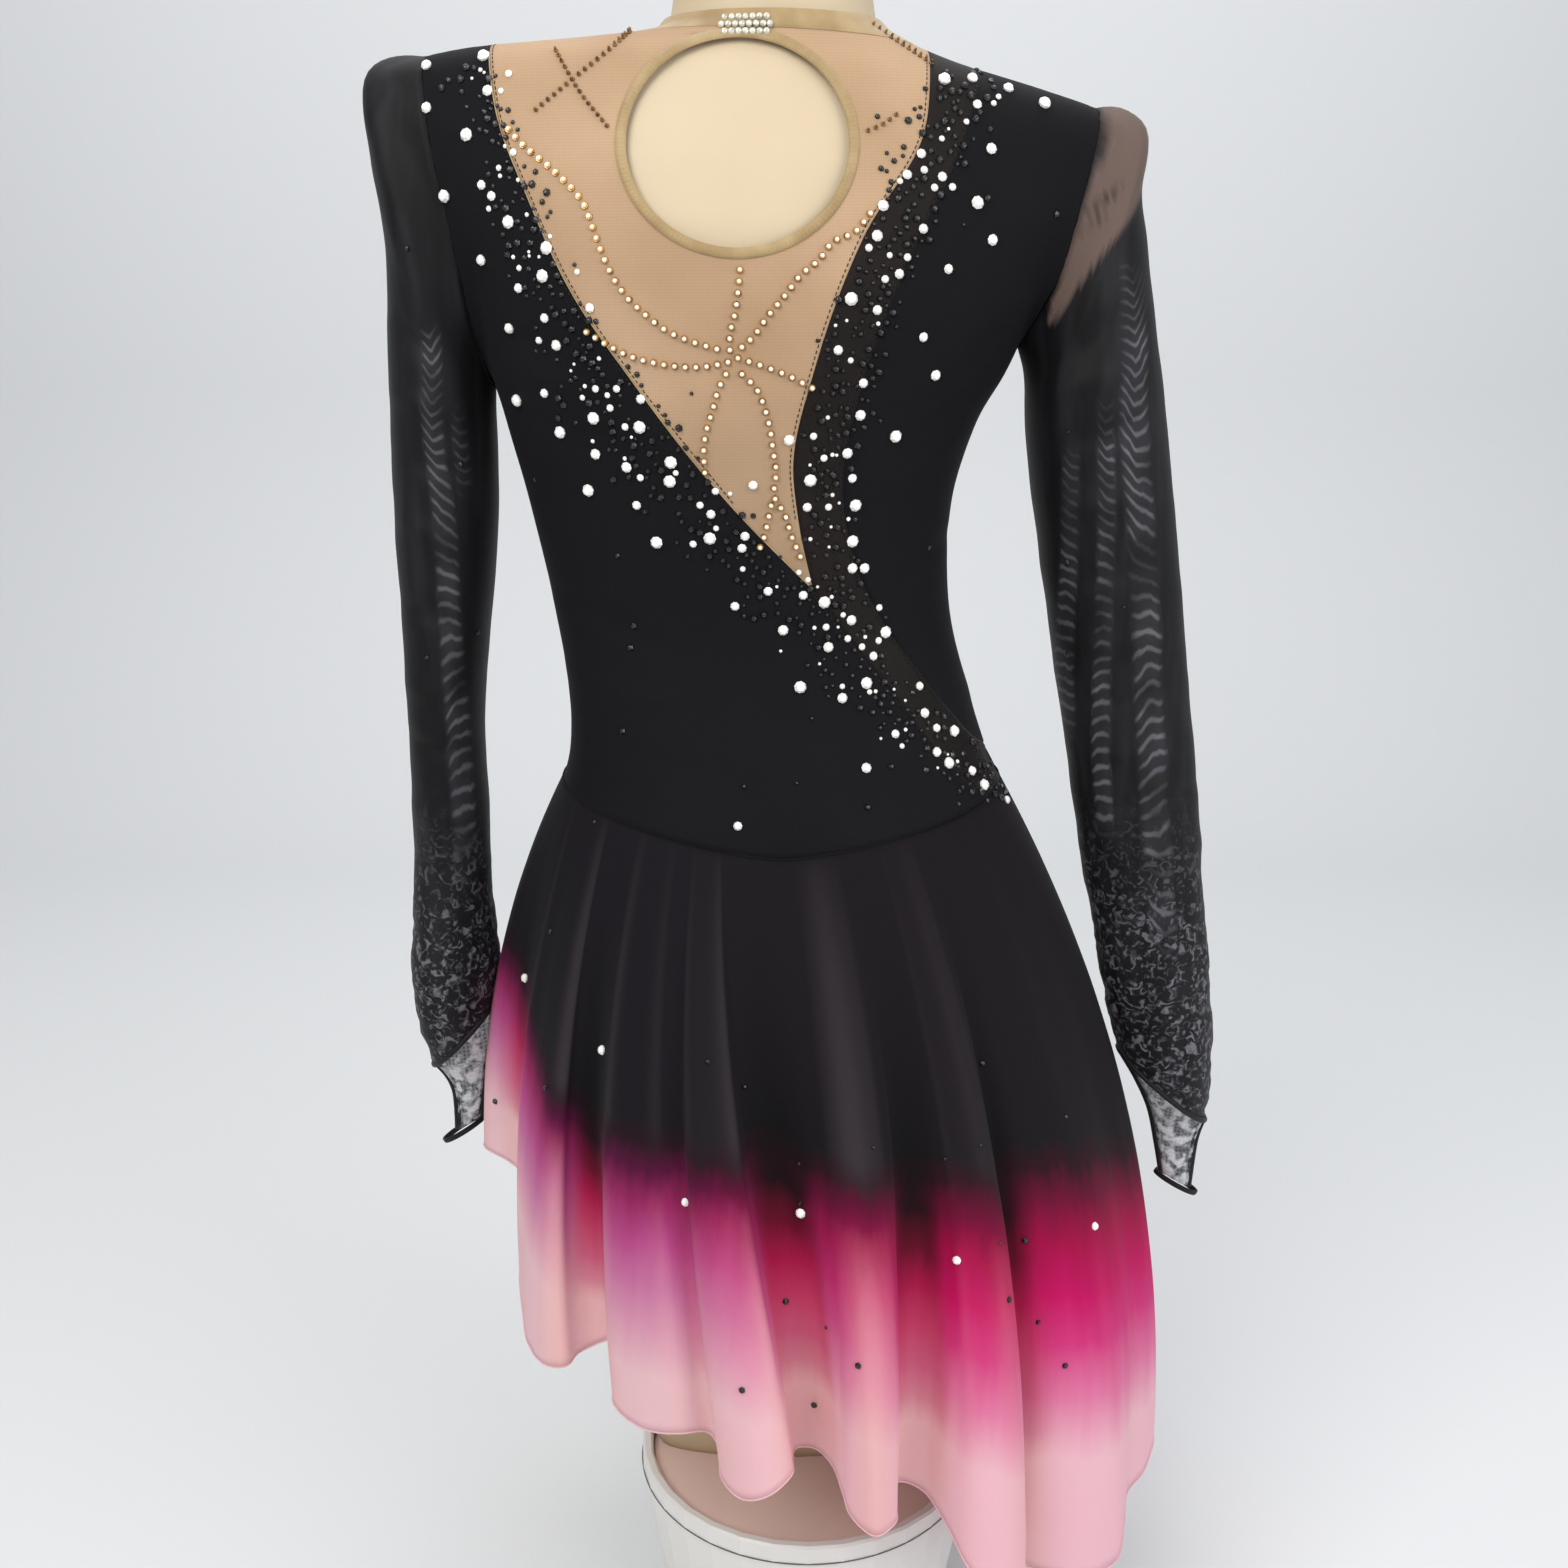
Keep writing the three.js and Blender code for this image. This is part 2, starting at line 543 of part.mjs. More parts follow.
/** The hem round all flutes: bearing, reach, height, and how far it stands off the mean line. */
function hemPoints() {
  return FLUTES.flatMap((flute, index) => {
    const [crestBearing, crestReach, crestZ, valleyBearing, valleyReach, valleyZ] = flute;
    const wraps = index === FLUTES.length - 1;
    const next = wraps ? FLUTES[0].slice() : FLUTES[index + 1].slice();
    next[0] -= wraps ? 360 : 0;
    const half = FOLD_POINTS / 2;
    return Array.from({ length: FOLD_POINTS }, (_, i) => {
      const falling = i < half;
      const share = ease((i % half) / half);
      const line = (i % half) / half;
      const bearing = falling ? mix(crestBearing, valleyBearing, line) : mix(valleyBearing, next[0], line);
      const reach = falling ? mix(crestReach, valleyReach, share) : mix(valleyReach, next[1], share);
      const height = falling ? mix(crestZ, valleyZ, share) : mix(valleyZ, next[2], share);
      const mean = falling ? (crestReach + valleyReach) / 2 : (valleyReach + next[1]) / 2;
      return { bearing: THREE.MathUtils.degToRad(bearing), reach, height, mean };
    });
  });
}

/** Where the waist seam meets a bearing: on the torso's own surface, at the seam's height. */
function waistPoint(bearing) {
  const dip = Math.sin(bearing) < 0 ? WAIST_DIP_BACK : WAIST_DIP_FRONT;
  const z = WAIST_SIDE - dip * (1 - Math.abs(Math.cos(bearing)) ** WAIST_POWER);
  const [below, above] = TORSO.slice(z < TORSO[1][1] ? 0 : 1);
  const share = (z - below[1]) / (above[1] - below[1]);
  const [left, , right, , back, front, power] = below.map((value, i) => mix(value, above[i], share));
  const deep = Math.sin(bearing) < 0 ? -back : front;
  const across = Math.abs(Math.cos(bearing)) / ((right - left) / 2);
  const reach = (across ** power + (Math.abs(Math.sin(bearing)) / deep) ** power) ** (-1 / power);
  const x = (left + right) / 2 + reach * Math.cos(bearing);
  return new THREE.Vector3(x, reach * Math.sin(bearing), waistHeight(x, dip) + SKIRT_TRIM);
}

const hem = hemPoints();
const skirtOuter = SKIRT_ROWS.map((down) => hem.map(({ bearing, reach, height, mean }) => {
  const waist = waistPoint(bearing);
  const swing = 1 - (1 - down) ** FLARE_POWER;
  const flute = (reach - mean) * down ** FLUTE_POWER;
  return new THREE.Vector3(
    mix(waist.x, mean * Math.cos(bearing), swing) + flute * Math.cos(bearing),
    mix(waist.y, mean * Math.sin(bearing), swing) + flute * Math.sin(bearing),
    mix(waist.z, height, down),
  );
}));
const skirtInner = skirtOuter.map((ring) => ring.map((point, i) => {
  const around = ring[(i + 1) % ring.length].clone().sub(ring[(i + ring.length - 1) % ring.length]);
  const inward = new THREE.Vector3(around.y, -around.x, 0).normalize();
  return point.clone().addScaledVector(inward, CLOTH * Math.sign(-inward.dot(point)));
}));
const skirt = tubeSolid(skirtOuter, skirtInner);
/** Everything under the waist seam on one side of Y = 0. */
function underWaist(dip, fromY, toY) {
  const line = waistLine(dip).map(([x, z]) => [x, z - SEAM]);
  const side = WAIST_SIDE - SEAM;
  return prism([[-FAR, 0], [-FAR, side], ...line, [FAR, side], [FAR, 0]], fromY, toY);
}

addPiece('skirt_back', skirt.intersect(underWaist(WAIST_DIP_BACK, -FAR, -SEAM / 2)), 'chiffon');
addPiece('skirt_front', skirt.intersect(underWaist(WAIST_DIP_FRONT, SEAM / 2, FAR)), 'chiffon');

// ---------------------------------------------------------------- dress form and base
const plainRing = ([leftX, rightX, z, back, front, power]) => {
  return section([leftX, z], [rightX, z], back, front, power, TORSO_POINTS);
};
const insideTorso = offsetRings(torsoRings, -CLOTH - EASE).slice(0, -1);
const formRings = [...FORM_HIPS.map(plainRing), ...insideTorso, ...FORM_NECK.map(plainRing)];
addPiece('dress_form', stackSolid(formRings), 'formShell');

function baseProfile() {
  const rimBottom = BASE.height - BASE.rimDepth;
  const inside = BASE.rim - BASE.lip;
  return [
    [0, 0],
    [BASE.foot - BASE.footRound, 0],
    [BASE.foot, BASE.footRound],
    ...BASE.side,
    [BASE.rim - BASE.groove, rimBottom - BASE.groove],
    [BASE.rim - BASE.groove, rimBottom],
    [BASE.rim, rimBottom + BASE.groove],
    [BASE.rim, BASE.height - BASE.rimRound],
    [BASE.rim - BASE.rimRound, BASE.height],
    [inside + BASE.rimRound, BASE.height],
    [inside, BASE.height - BASE.rimRound],
    [inside, BASE.floor],
    [0, BASE.floor],
  ].map(([radius, z]) => new THREE.Vector2(radius, z));
}

function turned(profile) {
  const lathe = new THREE.LatheGeometry(profile, BASE_SIDES);
  lathe.rotateX(Math.PI / 2);
  return geometrySolid(lathe);
}

const plateRadius = BASE.rim - BASE.lip - BASE.plateGap;
const plateProfile = [
  [0, BASE.floor + SEAM],
  [plateRadius, BASE.floor + SEAM],
  [plateRadius, PLATE_TOP - BASE.plateRound],
  [plateRadius - BASE.plateRound, PLATE_TOP],
  [0, PLATE_TOP],
].map(([radius, z]) => new THREE.Vector2(radius, z));
addPiece('base_drum', turned(baseProfile()), 'whitePlastic');
addPiece('base_plate', turned(plateProfile), 'taupePlate');

export default group;
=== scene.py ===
"""Figure skating dress with a flared ombre skirt, on a limbless dress form with a round base.

The tables are in millimetres, in the same frame as the solids: +Z up, the back of the dress faces
-Y and the wearer's left is at -X. Meshes are written in metres.
"""

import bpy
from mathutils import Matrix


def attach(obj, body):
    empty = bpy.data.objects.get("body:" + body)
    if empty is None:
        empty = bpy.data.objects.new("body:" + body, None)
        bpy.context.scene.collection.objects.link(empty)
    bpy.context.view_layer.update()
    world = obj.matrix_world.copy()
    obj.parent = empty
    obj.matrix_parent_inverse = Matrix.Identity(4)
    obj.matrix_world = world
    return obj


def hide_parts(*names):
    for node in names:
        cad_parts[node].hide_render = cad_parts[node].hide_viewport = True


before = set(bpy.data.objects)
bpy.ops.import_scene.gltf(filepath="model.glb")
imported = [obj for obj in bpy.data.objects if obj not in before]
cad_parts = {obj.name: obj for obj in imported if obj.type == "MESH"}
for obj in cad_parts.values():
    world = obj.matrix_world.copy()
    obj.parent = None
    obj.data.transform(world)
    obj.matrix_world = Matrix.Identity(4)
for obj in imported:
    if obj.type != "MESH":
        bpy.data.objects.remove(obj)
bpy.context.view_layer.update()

import math
import random

import bmesh
import bpy
import numpy as np
from mathutils import Vector, noise
from mathutils.bvhtree import BVHTree

MM = 0.001

# ---------------------------------------------------------------- sizes of the dress
COLLAR_BOTTOM = 986.2      # lower edge of the collar
KEYHOLE = {"x": -38, "z": 928.5, "half_width": 55.5, "half_height": 50.5, "tape": 5.5}
CLASP = {"x": -34, "z": 985.6, "half_width": 14.5, "half_height": 6.2}
WAIST_SIDE, WAIST_DIP_BACK, WAIST_DIP_FRONT, WAIST_POWER = 583, 23, 10, 1.35
WAIST_FADE = 70            # height over which the rows above the waist seam straighten
CLOTH, JERSEY_WALL, CHIFFON_WALL = 0.5, 0.7, 0.35      # walls of mesh, jersey and chiffon
SLEEVE_CUT, SLEEVE_AREA = (0.36, 0.63), 0.114          # both sleeves are cut alike, in metres
POINT_CUT, POINT_AREA = (0.036, 0.098), 0.0021         # and both hand points

# Torso: the ends of each section, how far it reaches back and forward, and its roundness.
TORSO = [
    # leftX leftZ rightX rightZ back front power
    [-156, 545, 130, 545, 101, 92, 2.1],
    [-149, 572, 118, 572, 97, 89, 2.1],
    [-141, 600, 105, 600, 89, 83, 2.1],
    [-141, 638, 92, 638, 79, 77, 2.1],
    [-147.5, 685, 80.5, 685, 75, 78, 2.1],
    [-158, 740, 80, 740, 81, 92, 2.15],
    [-169, 785, 92, 785, 88, 108, 2.2],
    [-177, 814, 108, 814, 91, 112, 2.2],
    [-187, 851, 124, 850, 92, 104, 2.3],
    [-203, 893, 143, 887, 87, 84, 2.3],
    [-222, 928, 158, 916, 78, 68, 2.2],
    [-231, 950, 168, 934, 70, 57, 2.1],
    [-225, 969, 160, 947, 64, 51, 2.0],
    [-190, 979, 126, 959, 60, 49, 2.0],
    [-130, 984, 80, 972, 55, 48, 2.0],
    [-88, 988, 47, 985, 51, 47, 2.0],
    [-78, 994, 37, 993, 49.5, 46, 2.0],
    [-76, 1010, 35, 1010, 49, 45, 2.0],
]
# Sleeves, from inside the shoulder to the wrist: the inner and outer end of each section.
LEFT_SLEEVE = [
    # innerX innerZ outerX outerZ back front
    [-165, 832, -176, 966, 37, 33],
    [-172, 818, -205, 977, 40, 38],
    [-176, 808, -228, 975, 44, 43],
    [-177, 799, -238, 962, 47, 47],
    [-177.5, 788, -236, 930, 48, 49],
    [-177.5, 774, -231.5, 890, 47, 48],
    [-177.7, 758, -233, 842, 45, 45],
    [-178.5, 735, -235, 789, 43, 42],
    [-182, 700, -236, 735, 41, 40],
    [-187.5, 660, -236, 680, 39, 38],
    [-192.5, 612, -236, 622, 36, 35],
    [-192.5, 560, -237, 565, 33, 33],
    [-193, 510, -239, 513, 31, 31],
    [-191.5, 480, -242, 484, 31, 31],
    [-190, 461, -244, 452, 31, 31],
    [-193, 445, -241, 421, 29, 29],
    [-195, 434, -234, 394, 26, 26],
]
RIGHT_SLEEVE = [
    [112, 838, 128, 944, 35, 31],
    [116, 825, 156, 952, 38, 36],
    [119, 815, 171, 949, 42, 41],
    [120.5, 804, 180, 938, 46, 46],
    [121, 792, 178, 913, 48, 49],
    [122, 778, 182, 886, 48, 49],
    [124, 761, 190, 842, 46, 46],
    [128, 737, 199.5, 789, 44, 43],
    [134, 702, 208, 735, 42, 41],
    [141, 662, 216, 680, 40, 39],
    [149, 619, 224, 624, 38, 37],
    [159, 562, 233, 565, 36, 35],
    [168, 514, 239, 513, 34, 34],
    [175.5, 482, 244, 480, 33, 33],
    [182.5, 446, 249, 440, 32, 32],
    [190, 416, 253.5, 398, 30, 30],
    [195, 402, 251.5, 355, 25, 25],
]
# Tongues over the hands: inner and outer edge of each row and how far it bulges back.
LEFT_HAND_POINT = [
    # innerX innerZ outerX outerZ bulge
    [-196, 430.5, -232.5, 391.5, 17],
    [-197, 414, -227.5, 385, 13],
    [-201, 394, -224, 378, 9],
    [-204, 377, -222, 368, 7],
    [-206.5, 356.5, -222, 346.5, 5],
]
RIGHT_HAND_POINT = [
    [198, 398, 250.5, 351.5, 17],
    [208, 381, 248.5, 345, 14],
    [217, 361, 247, 337, 10],
    [223, 336, 246, 324, 7],
    [227, 316.5, 245, 306.1, 5],
]
RIM = {"reach": 110.0, "height": 108.0, "radius": 0.45}    # the joint under the base's rim, drawn as a dark ring of painted shadow
LOOP = {"half_width": 16.3, "half_depth": 7.5, "band": 3.4, "thickness": 1.5, "y": 5.5}
LEFT_LOOP = {"x": -219.2, "z": 343.8, "tilt": 33}
RIGHT_LOOP = {"x": 238.2, "z": 305.7, "tilt": -30}

# Seams of the bodice, seen along Y, from the top down.
V_LEFT = [[-166, 981], [-159, 940], [-145, 905], [-122, 856], [-95, 817], [-42, 749], [0.7, 704]]
V_RIGHT = [[60, 974], [55, 932], [26, 885], [1, 820], [-10, 770], [-7, 740], [0.7, 704]]
BAND_EDGE = [[88, 968], [74, 925], [46, 867], [24, 806], [16, 760], [24, 716], [62, 652],
             [112, 597], [140, 570]]
DIAGONAL = [[0.7, 704], [34, 659], [68, 618], [104, 580], [126, 557]]
SCOOP_LEFT = [[-166, 981], [-156, 935], [-118, 888], [-85, 871], [-48, 865.5]]
SCOOP_RIGHT = [[60, 974], [44, 915], [22, 887], [-10, 870], [-48, 865.5]]
LEFT_ARMHOLE = [[-204, 1010], [-198, 940], [-188, 880], [-178.5, 818], [-173.5, 796], [-168, 740],
                [-168, 300]]
RIGHT_ARMHOLE = [[153, 1010], [150, 945], [141, 903], [130, 862], [115.5, 829], [108, 797],
                 [106, 740], [130, 600], [140, 300]]

# Hem of the skirt, clockwise seen from above from the right side seam round the back:
# bearing from +X, reach from the axis and height of each turn of the cloth.
HEM_BACK = [
    # bearing reach height
    [0, 230, 132],
    [-5, 230, 130],
    [-12, 223, 127],
    [-19, 214, 127],
    [-26, 218, 123],
    [-33, 221, 119],
    [-40, 211, 121],
    [-46, 193, 130],
    [-49.6, 177, 139],
    [-51.8, 178, 146],
    [-52.4, 194, 150],
    [-53.8, 208, 150],
    [-57.2, 216, 151],
    [-61, 214, 157],
    [-64.5, 204, 172],
    [-66, 187, 190],
    [-68, 172, 202],
    [-72, 169, 209],
    [-75.6, 176, 213],
    [-76.3, 194, 216],
    [-77.4, 209, 218],
    [-80.8, 217, 217],
    [-83.6, 208, 221],
    [-84.8, 190, 226],
    [-86, 173, 230],
    [-89, 166, 235],
    [-92.6, 172, 240],
    [-93, 190, 246],
    [-92.8, 205, 249],
    [-95.8, 213, 242],
    [-100, 213, 237],
    [-104, 204, 242],
    [-105.2, 191, 248],
    [-107.5, 187, 255],
    [-111, 197, 259],
    [-116, 200, 257],
    [-121, 199, 258],
    [-124.5, 195, 262],
    [-126.5, 182, 272],
    [-131, 170, 279],
    [-135.5, 172, 272],
    [-137, 183, 268],
    [-135.8, 194, 267],
    [-139, 201, 265],
    [-146, 198, 264],
    [-152, 193, 268],
    [-156.5, 190, 290],
    [-159, 179, 318],
    [-165, 176, 334],
    [-171, 188, 339],
    [-176, 203, 341],
    [-180, 203, 342],
]
HEM_FRONT = [
    [-180, 203, 342],
    [-186, 190, 344],
    [-190, 183, 345],
    [-197, 188, 340],
    [-199, 201, 335],
    [-206, 202, 333],
    [-211, 187, 327],
    [-216, 172, 322],
    [-222, 178, 314],
    [-224, 195, 306],
    [-231, 200, 303],
    [-235, 186, 296],
    [-240, 170, 288],
    [-247, 173, 277],
    [-250, 193, 270],
    [-257, 200, 267],
    [-261, 187, 261],
    [-265, 172, 256],
    [-273, 175, 247],
    [-276, 197, 239],
    [-284, 204, 232],
    [-288, 190, 222],
    [-292, 176, 214],
    [-299, 180, 201],
    [-302, 203, 189],
    [-310, 212, 181],
    [-314, 198, 172],
    [-318, 184, 164],
    [-325, 193, 155],
    [-330, 217, 146],
    [-339, 223, 140],
    [-345, 209, 135],
    [-349, 205, 134],
    [-355, 223, 132],
    [-360, 230, 132],
]
FLARE_POWER = 2.15         # how soon the skirt swings out below the waist seam
FLUTE_POWER = 1.08         # how late its flutes deepen
SWIRL = [                  # how many degrees a fold has turned by the time it reaches the waist
    [-360, 0], [-320, 3], [-250, -4], [-180, 0], [-150, -4], [-138, -8], [-122, -10], [-108, -13],
    [-96, -16], [-92, -16], [-84, -4], [-76, 5], [-66, 4], [-54, 3], [-40, 3], [0, 0],
]
SWIRL_POWER = 1.1          # how evenly a fold turns on its way down
# Millimetres of the hem over which each is smoothed: the cloth's turning, twice, its mean reach,
# and its bends.
TURN_BLUR, SECOND_BLUR, REACH_BLUR, BEND_BLUR = 16, 6, 75, 5
DEEP_FOLD = (1, 13)        # depth behind the mean cloth at which a fold's painted shade begins and is full
HEM_EDGE = 0.55            # radius of the rolled hem
HEM_PALER = 0.5            # how much paler the rolled hem is painted, painted light that lifts the shade on its underside

# Where black gives way to colour down the skirt, and how far the colour takes to pale.
DYE_LINE = [               # bearing, height of the line, height over which it pales
    [-360, 350, 190], [-330, 365, 170], [-290, 395, 150], [-250, 430, 130], [-215, 465, 118],
    [-190, 488, 112], [-174, 490, 112], [-164, 480, 116], [-155, 464, 124], [-144, 444, 124],
    [-133, 428, 126], [-118, 428, 138], [-102, 429, 142], [-90, 426, 146], [-80, 416, 148],
    [-66, 407, 168], [-50, 397, 186], [-39, 397, 198], [-22, 380, 194], [-10, 364, 190],
    [0, 350, 190],
]


# ---------------------------------------------------------------- curves through the tables
def through(rows, places, knots=None):
    """Values of a table at places between its rows, on one smooth curve."""
    rows = np.asarray(rows, float)
    knots = np.arange(len(rows), dtype=float) if knots is None else np.asarray(knots, float)
    gaps = np.diff(knots)[:, None]
    slopes = np.diff(rows, axis=0) / gaps
    inner = (slopes[:-1] * gaps[1:] + slopes[1:] * gaps[:-1]) / (gaps[:-1] + gaps[1:])
    turns = np.vstack([slopes[:1], inner, slopes[-1:]])
    places = np.atleast_1d(np.asarray(places, float))
    i = np.clip(np.searchsorted(knots, places, side="right") - 1, 0, len(knots) - 2)
    gap = gaps[i]
    f = (places[:, None] - knots[i, None]) / gap
    return ((1 + 2 * f) * (1 - f) ** 2 * rows[i] + f * (1 - f) ** 2 * gap * turns[i]
            + f * f * (3 - 2 * f) * rows[i + 1] + f * f * (f - 1) * gap * turns[i + 1])


def lengths(points, power=1.0):
    """Distance along a row of points up to each of them, each step raised to a power."""
    steps = np.linalg.norm(np.diff(np.asarray(points, float), axis=0), axis=1)
    return np.concatenate([[0], np.cumsum(steps ** power)])


def evenly(points, spacing, power=1.0):
    """A smooth line through points, cut into even steps."""
    points = np.asarray(points, float)
    knots = lengths(points, power)
    fine = through(points, np.linspace(0, knots[-1], 40 * len(points)), knots)
    run = lengths(fine)
    count = max(2, int(round(run[-1] / spacing)) + 1)
    places = np.linspace(0, run[-1], count)
    return np.stack([np.interp(places, run, fine[:, k]) for k in range(fine.shape[1])], axis=1)


def seam(points):
    """The seam's X as a function of height."""
    fine = evenly(points, 1.5)
    fine = fine[np.argsort(fine[:, 1])]
    return lambda z: np.interp(z, fine[:, 1], fine[:, 0])


def soft_step(low, high, x):
    """0 below low, 1 above high, and a smooth rise between them."""
    f = np.clip((np.asarray(x, float) - low) / (high - low), 0, 1)
    return f * f * (3 - 2 * f)


torso_fine = through(TORSO, np.linspace(0, len(TORSO) - 1, 700))
left_side = seam(torso_fine[:, [0, 1]])
right_side = seam(torso_fine[:, [2, 3]])
v_left, v_right, band_edge, diagonal = (seam(s) for s in (V_LEFT, V_RIGHT, BAND_EDGE, DIAGONAL))
scoop_left, scoop_right = seam(SCOOP_LEFT), seam(SCOOP_RIGHT)
left_armhole, right_armhole = seam(LEFT_ARMHOLE), seam(RIGHT_ARMHOLE)
TIP = V_LEFT[-1][1]


def across_depth(x, z, sections, reach):
    """How deep the body of a stack of tilted sections is behind or before each point (x, z)."""
    x0, z0, x1, z1 = sections[:, :4].T
    power = sections[:, 6] if sections.shape[1] > 6 else np.full(len(sections), 2.0)
    depth = sections[:, reach]
    out = np.zeros(len(x))
    for start in range(0, len(x), 1500):
        part = slice(start, start + 1500)
        px, pz = x[part, None], z[part, None]
        side = (px - x0) * (z1 - z0) - (pz - z0) * (x1 - x0)
        cross = side[:, :-1] * side[:, 1:] <= 0
        share = side[:, :-1] / np.where(side[:, :-1] == side[:, 1:], 1, side[:, :-1] - side[:, 1:])
        at = lambda values: values[:-1] + (values[1:] - values[:-1]) * share
        ax, az, bx, bz = at(x0), at(z0), at(x1), at(z1)
        span = (bx - ax) ** 2 + (bz - az) ** 2
        across = np.abs(2 * ((px - ax) * (bx - ax) + (pz - az) * (bz - az)) / span - 1)
        p = at(power)
        deep = at(depth) * np.clip(1 - np.clip(across, 0, 1) ** p, 0, 1) ** (1 / p)
        out[part] = np.where(cross, deep, 0).max(axis=1)
    return out


def sorted_sleeve(table):
    """A sleeve's sections with the end at the smaller X first."""
    return np.array([[a, b, c, d, back, front] if a < c else [c, d, a, b, back, front]
                     for a, b, c, d, back, front in table], float)


sleeve_fine = {name: through(sorted_sleeve(table), np.linspace(0, len(table) - 1, 500))
               for name, table in (("left", LEFT_SLEEVE), ("right", RIGHT_SLEEVE))}
MELT = 14                  # radius with which the shoulder runs into the sleeve


def melted(a, b):
    """The larger of two depths, run into each other softly where both are there."""
    h = np.clip(MELT - np.abs(a - b), 0, None) * (np.minimum(a, b) > 0)
    return np.maximum(a, b) + h * h / (4 * MELT) * np.clip(np.minimum(a, b) / MELT, 0, 1)


def dress_depth(x, z, front):
    """Depth of the dress, torso and sleeves together, at points seen along Y."""
    deep = across_depth(x, z, torso_fine, 5 if front else 4)
    for fine in sleeve_fine.values():
        deep = melted(deep, across_depth(x, z, fine, 5 if front else 4))
    return deep


# ---------------------------------------------------------------- meshes
def tube_faces(rows, columns, closed=False):
    """Quads between rows of points, round to the first column again where they are closed."""
    wrap = columns if closed else columns - 1
    return [(r * columns + c, r * columns + (c + 1) % columns,
             (r + 1) * columns + (c + 1) % columns, (r + 1) * columns + c)
            for r in range(rows - 1) for c in range(wrap)]


def make(name, points, faces, finish, slot, replaces=(), outward=None):
    """A smooth shaded piece from points in millimetres, riding on the part."""
    mesh = bpy.data.meshes.new(name)
    mesh.from_pydata([tuple(p) for p in np.asarray(points, float) * MM], [], faces)
    b = bmesh.new()
    b.from_mesh(mesh)
    bmesh.ops.remove_doubles(b, verts=b.verts, dist=0.02 * MM)
    bmesh.ops.dissolve_degenerate(b, edges=b.edges, dist=0.01 * MM)
    loose = [v for v in b.verts if not v.link_faces]
    bmesh.ops.delete(b, geom=loose, context="VERTS")
    bmesh.ops.recalc_face_normals(b, faces=b.faces)
    if outward is not None and b.faces:
        centre = Vector(outward) * MM
        lean = sum((f.calc_center_median() - centre).dot(f.normal) * f.calc_area() for f in b.faces)
        if lean < 0:
            bmesh.ops.reverse_faces(b, faces=b.faces)
    for f in b.faces:
        f.smooth = True
    b.to_mesh(mesh)
    b.free()
    obj = bpy.data.objects.new(name, mesh)
    bpy.context.scene.collection.objects.link(obj)
    mesh.materials.append(finish)
    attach(obj, "root")
    if replaces:
        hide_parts(*replaces)
    return obj


def thicken(obj, thickness=CLOTH):
    """Gives a sheet its real wall, inward from its outer face."""
    wall = obj.modifiers.new("wall", "SOLIDIFY")
    wall.thickness = thickness * MM
    wall.offset = -1
    return obj


def joined(parts):
    """Points and faces of several small meshes as one."""
    points, faces, start = [], [], 0
    for these, those in parts:
        points.append(np.asarray(these, float))
        faces += [tuple(i + start for i in face) for face in those]
        start += len(these)
    return np.concatenate(points), faces


def paint(obj, name, values):
    """Keeps one number at each vertex for the material to read."""
    kept = obj.data.attributes.new(name, "FLOAT", "POINT")
    kept.data.foreach_set("value", np.asarray(values, np.float32))


def places(obj):
    """Vertex positions in millimetres."""
    co = np.zeros(len(obj.data.vertices) * 3)
    obj.data.vertices.foreach_get("co", co)
    return co.reshape(-1, 3) / MM


def push(obj, amounts):
    """Moves each vertex out along its normal, or in where the amount is negative."""
    co = places(obj)
    normals = np.array([tuple(v.normal) for v in obj.data.vertices])
    co += normals * np.asarray(amounts, float)[:, None]
    obj.data.vertices.foreach_set("co", (co * MM).ravel())
    obj.data.update()


def creased(co, creases):
    """Soft troughs and ridges along short lines seen along Y: where, how wide and how deep."""
    out = np.zeros(len(co))
    for x0, z0, x1, z1, width, depth in creases:
        run = np.array([x1 - x0, z1 - z0], float)
        along = ((co[:, 0] - x0) * run[0] + (co[:, 2] - z0) * run[1]) / (run @ run)
        near = np.clip(along, 0, 1)
        off = np.hypot(co[:, 0] - x0 - near * run[0], co[:, 2] - z0 - near * run[1])
        ends = np.sin(np.pi * np.clip(along, 0.02, 0.98)) ** 0.7
        out += depth * np.exp(-(off / width) ** 2) * ends
    return out


def rough(co, size, stretch=(1, 1, 1), offset=0.0):
    """Smooth noise of a size in millimetres, from -1 to 1."""
    scaled = co / (size * np.array(stretch, float)) + offset
    return np.array([noise.noise(Vector(p)) for p in scaled])


# ---------------------------------------------------------------- finishes
def linear(colour):
    """Linear RGBA of an sRGB hex colour."""
    parts = [int(colour[i:i + 2], 16) / 255 for i in (0, 2, 4)]
    return [c / 12.92 if c <= 0.04045 else ((c + 0.055) / 1.055) ** 2.4 for c in parts] + [1.0]


def node(tree, kind, feeds=None, stops=None, **settings):
    """Adds one node with its settings, its ramp's stops, and the values and links it takes."""
    made = tree.nodes.new("ShaderNode" + kind)
    for name, value in settings.items():
        setattr(made, name, value)
    if stops:
        ramp = made.color_ramp.elements
        while len(ramp) < len(stops):
            ramp.new(0.5)
        for element, (place, colour) in zip(ramp, stops):
            element.position = place
            element.color = linear(colour) if isinstance(colour, str) else [colour] * 3 + [1.0]
    for socket, value in (feeds or {}).items():
        if isinstance(value, bpy.types.NodeSocket):
            tree.links.new(value, made.inputs[socket])
        else:
            made.inputs[socket].default_value = value
    return made


def start(name):
    """An empty material's tree, with its position in the object."""
    made = bpy.data.materials.new(name)
    made.use_nodes = True
    made.node_tree.nodes.clear()
    return made, made.node_tree, node(made.node_tree, "TexCoord").outputs["Object"]


def end(tree, surface):
    """Sends the finished surface to the material's output."""
    node(tree, "OutputMaterial", {"Surface": surface})


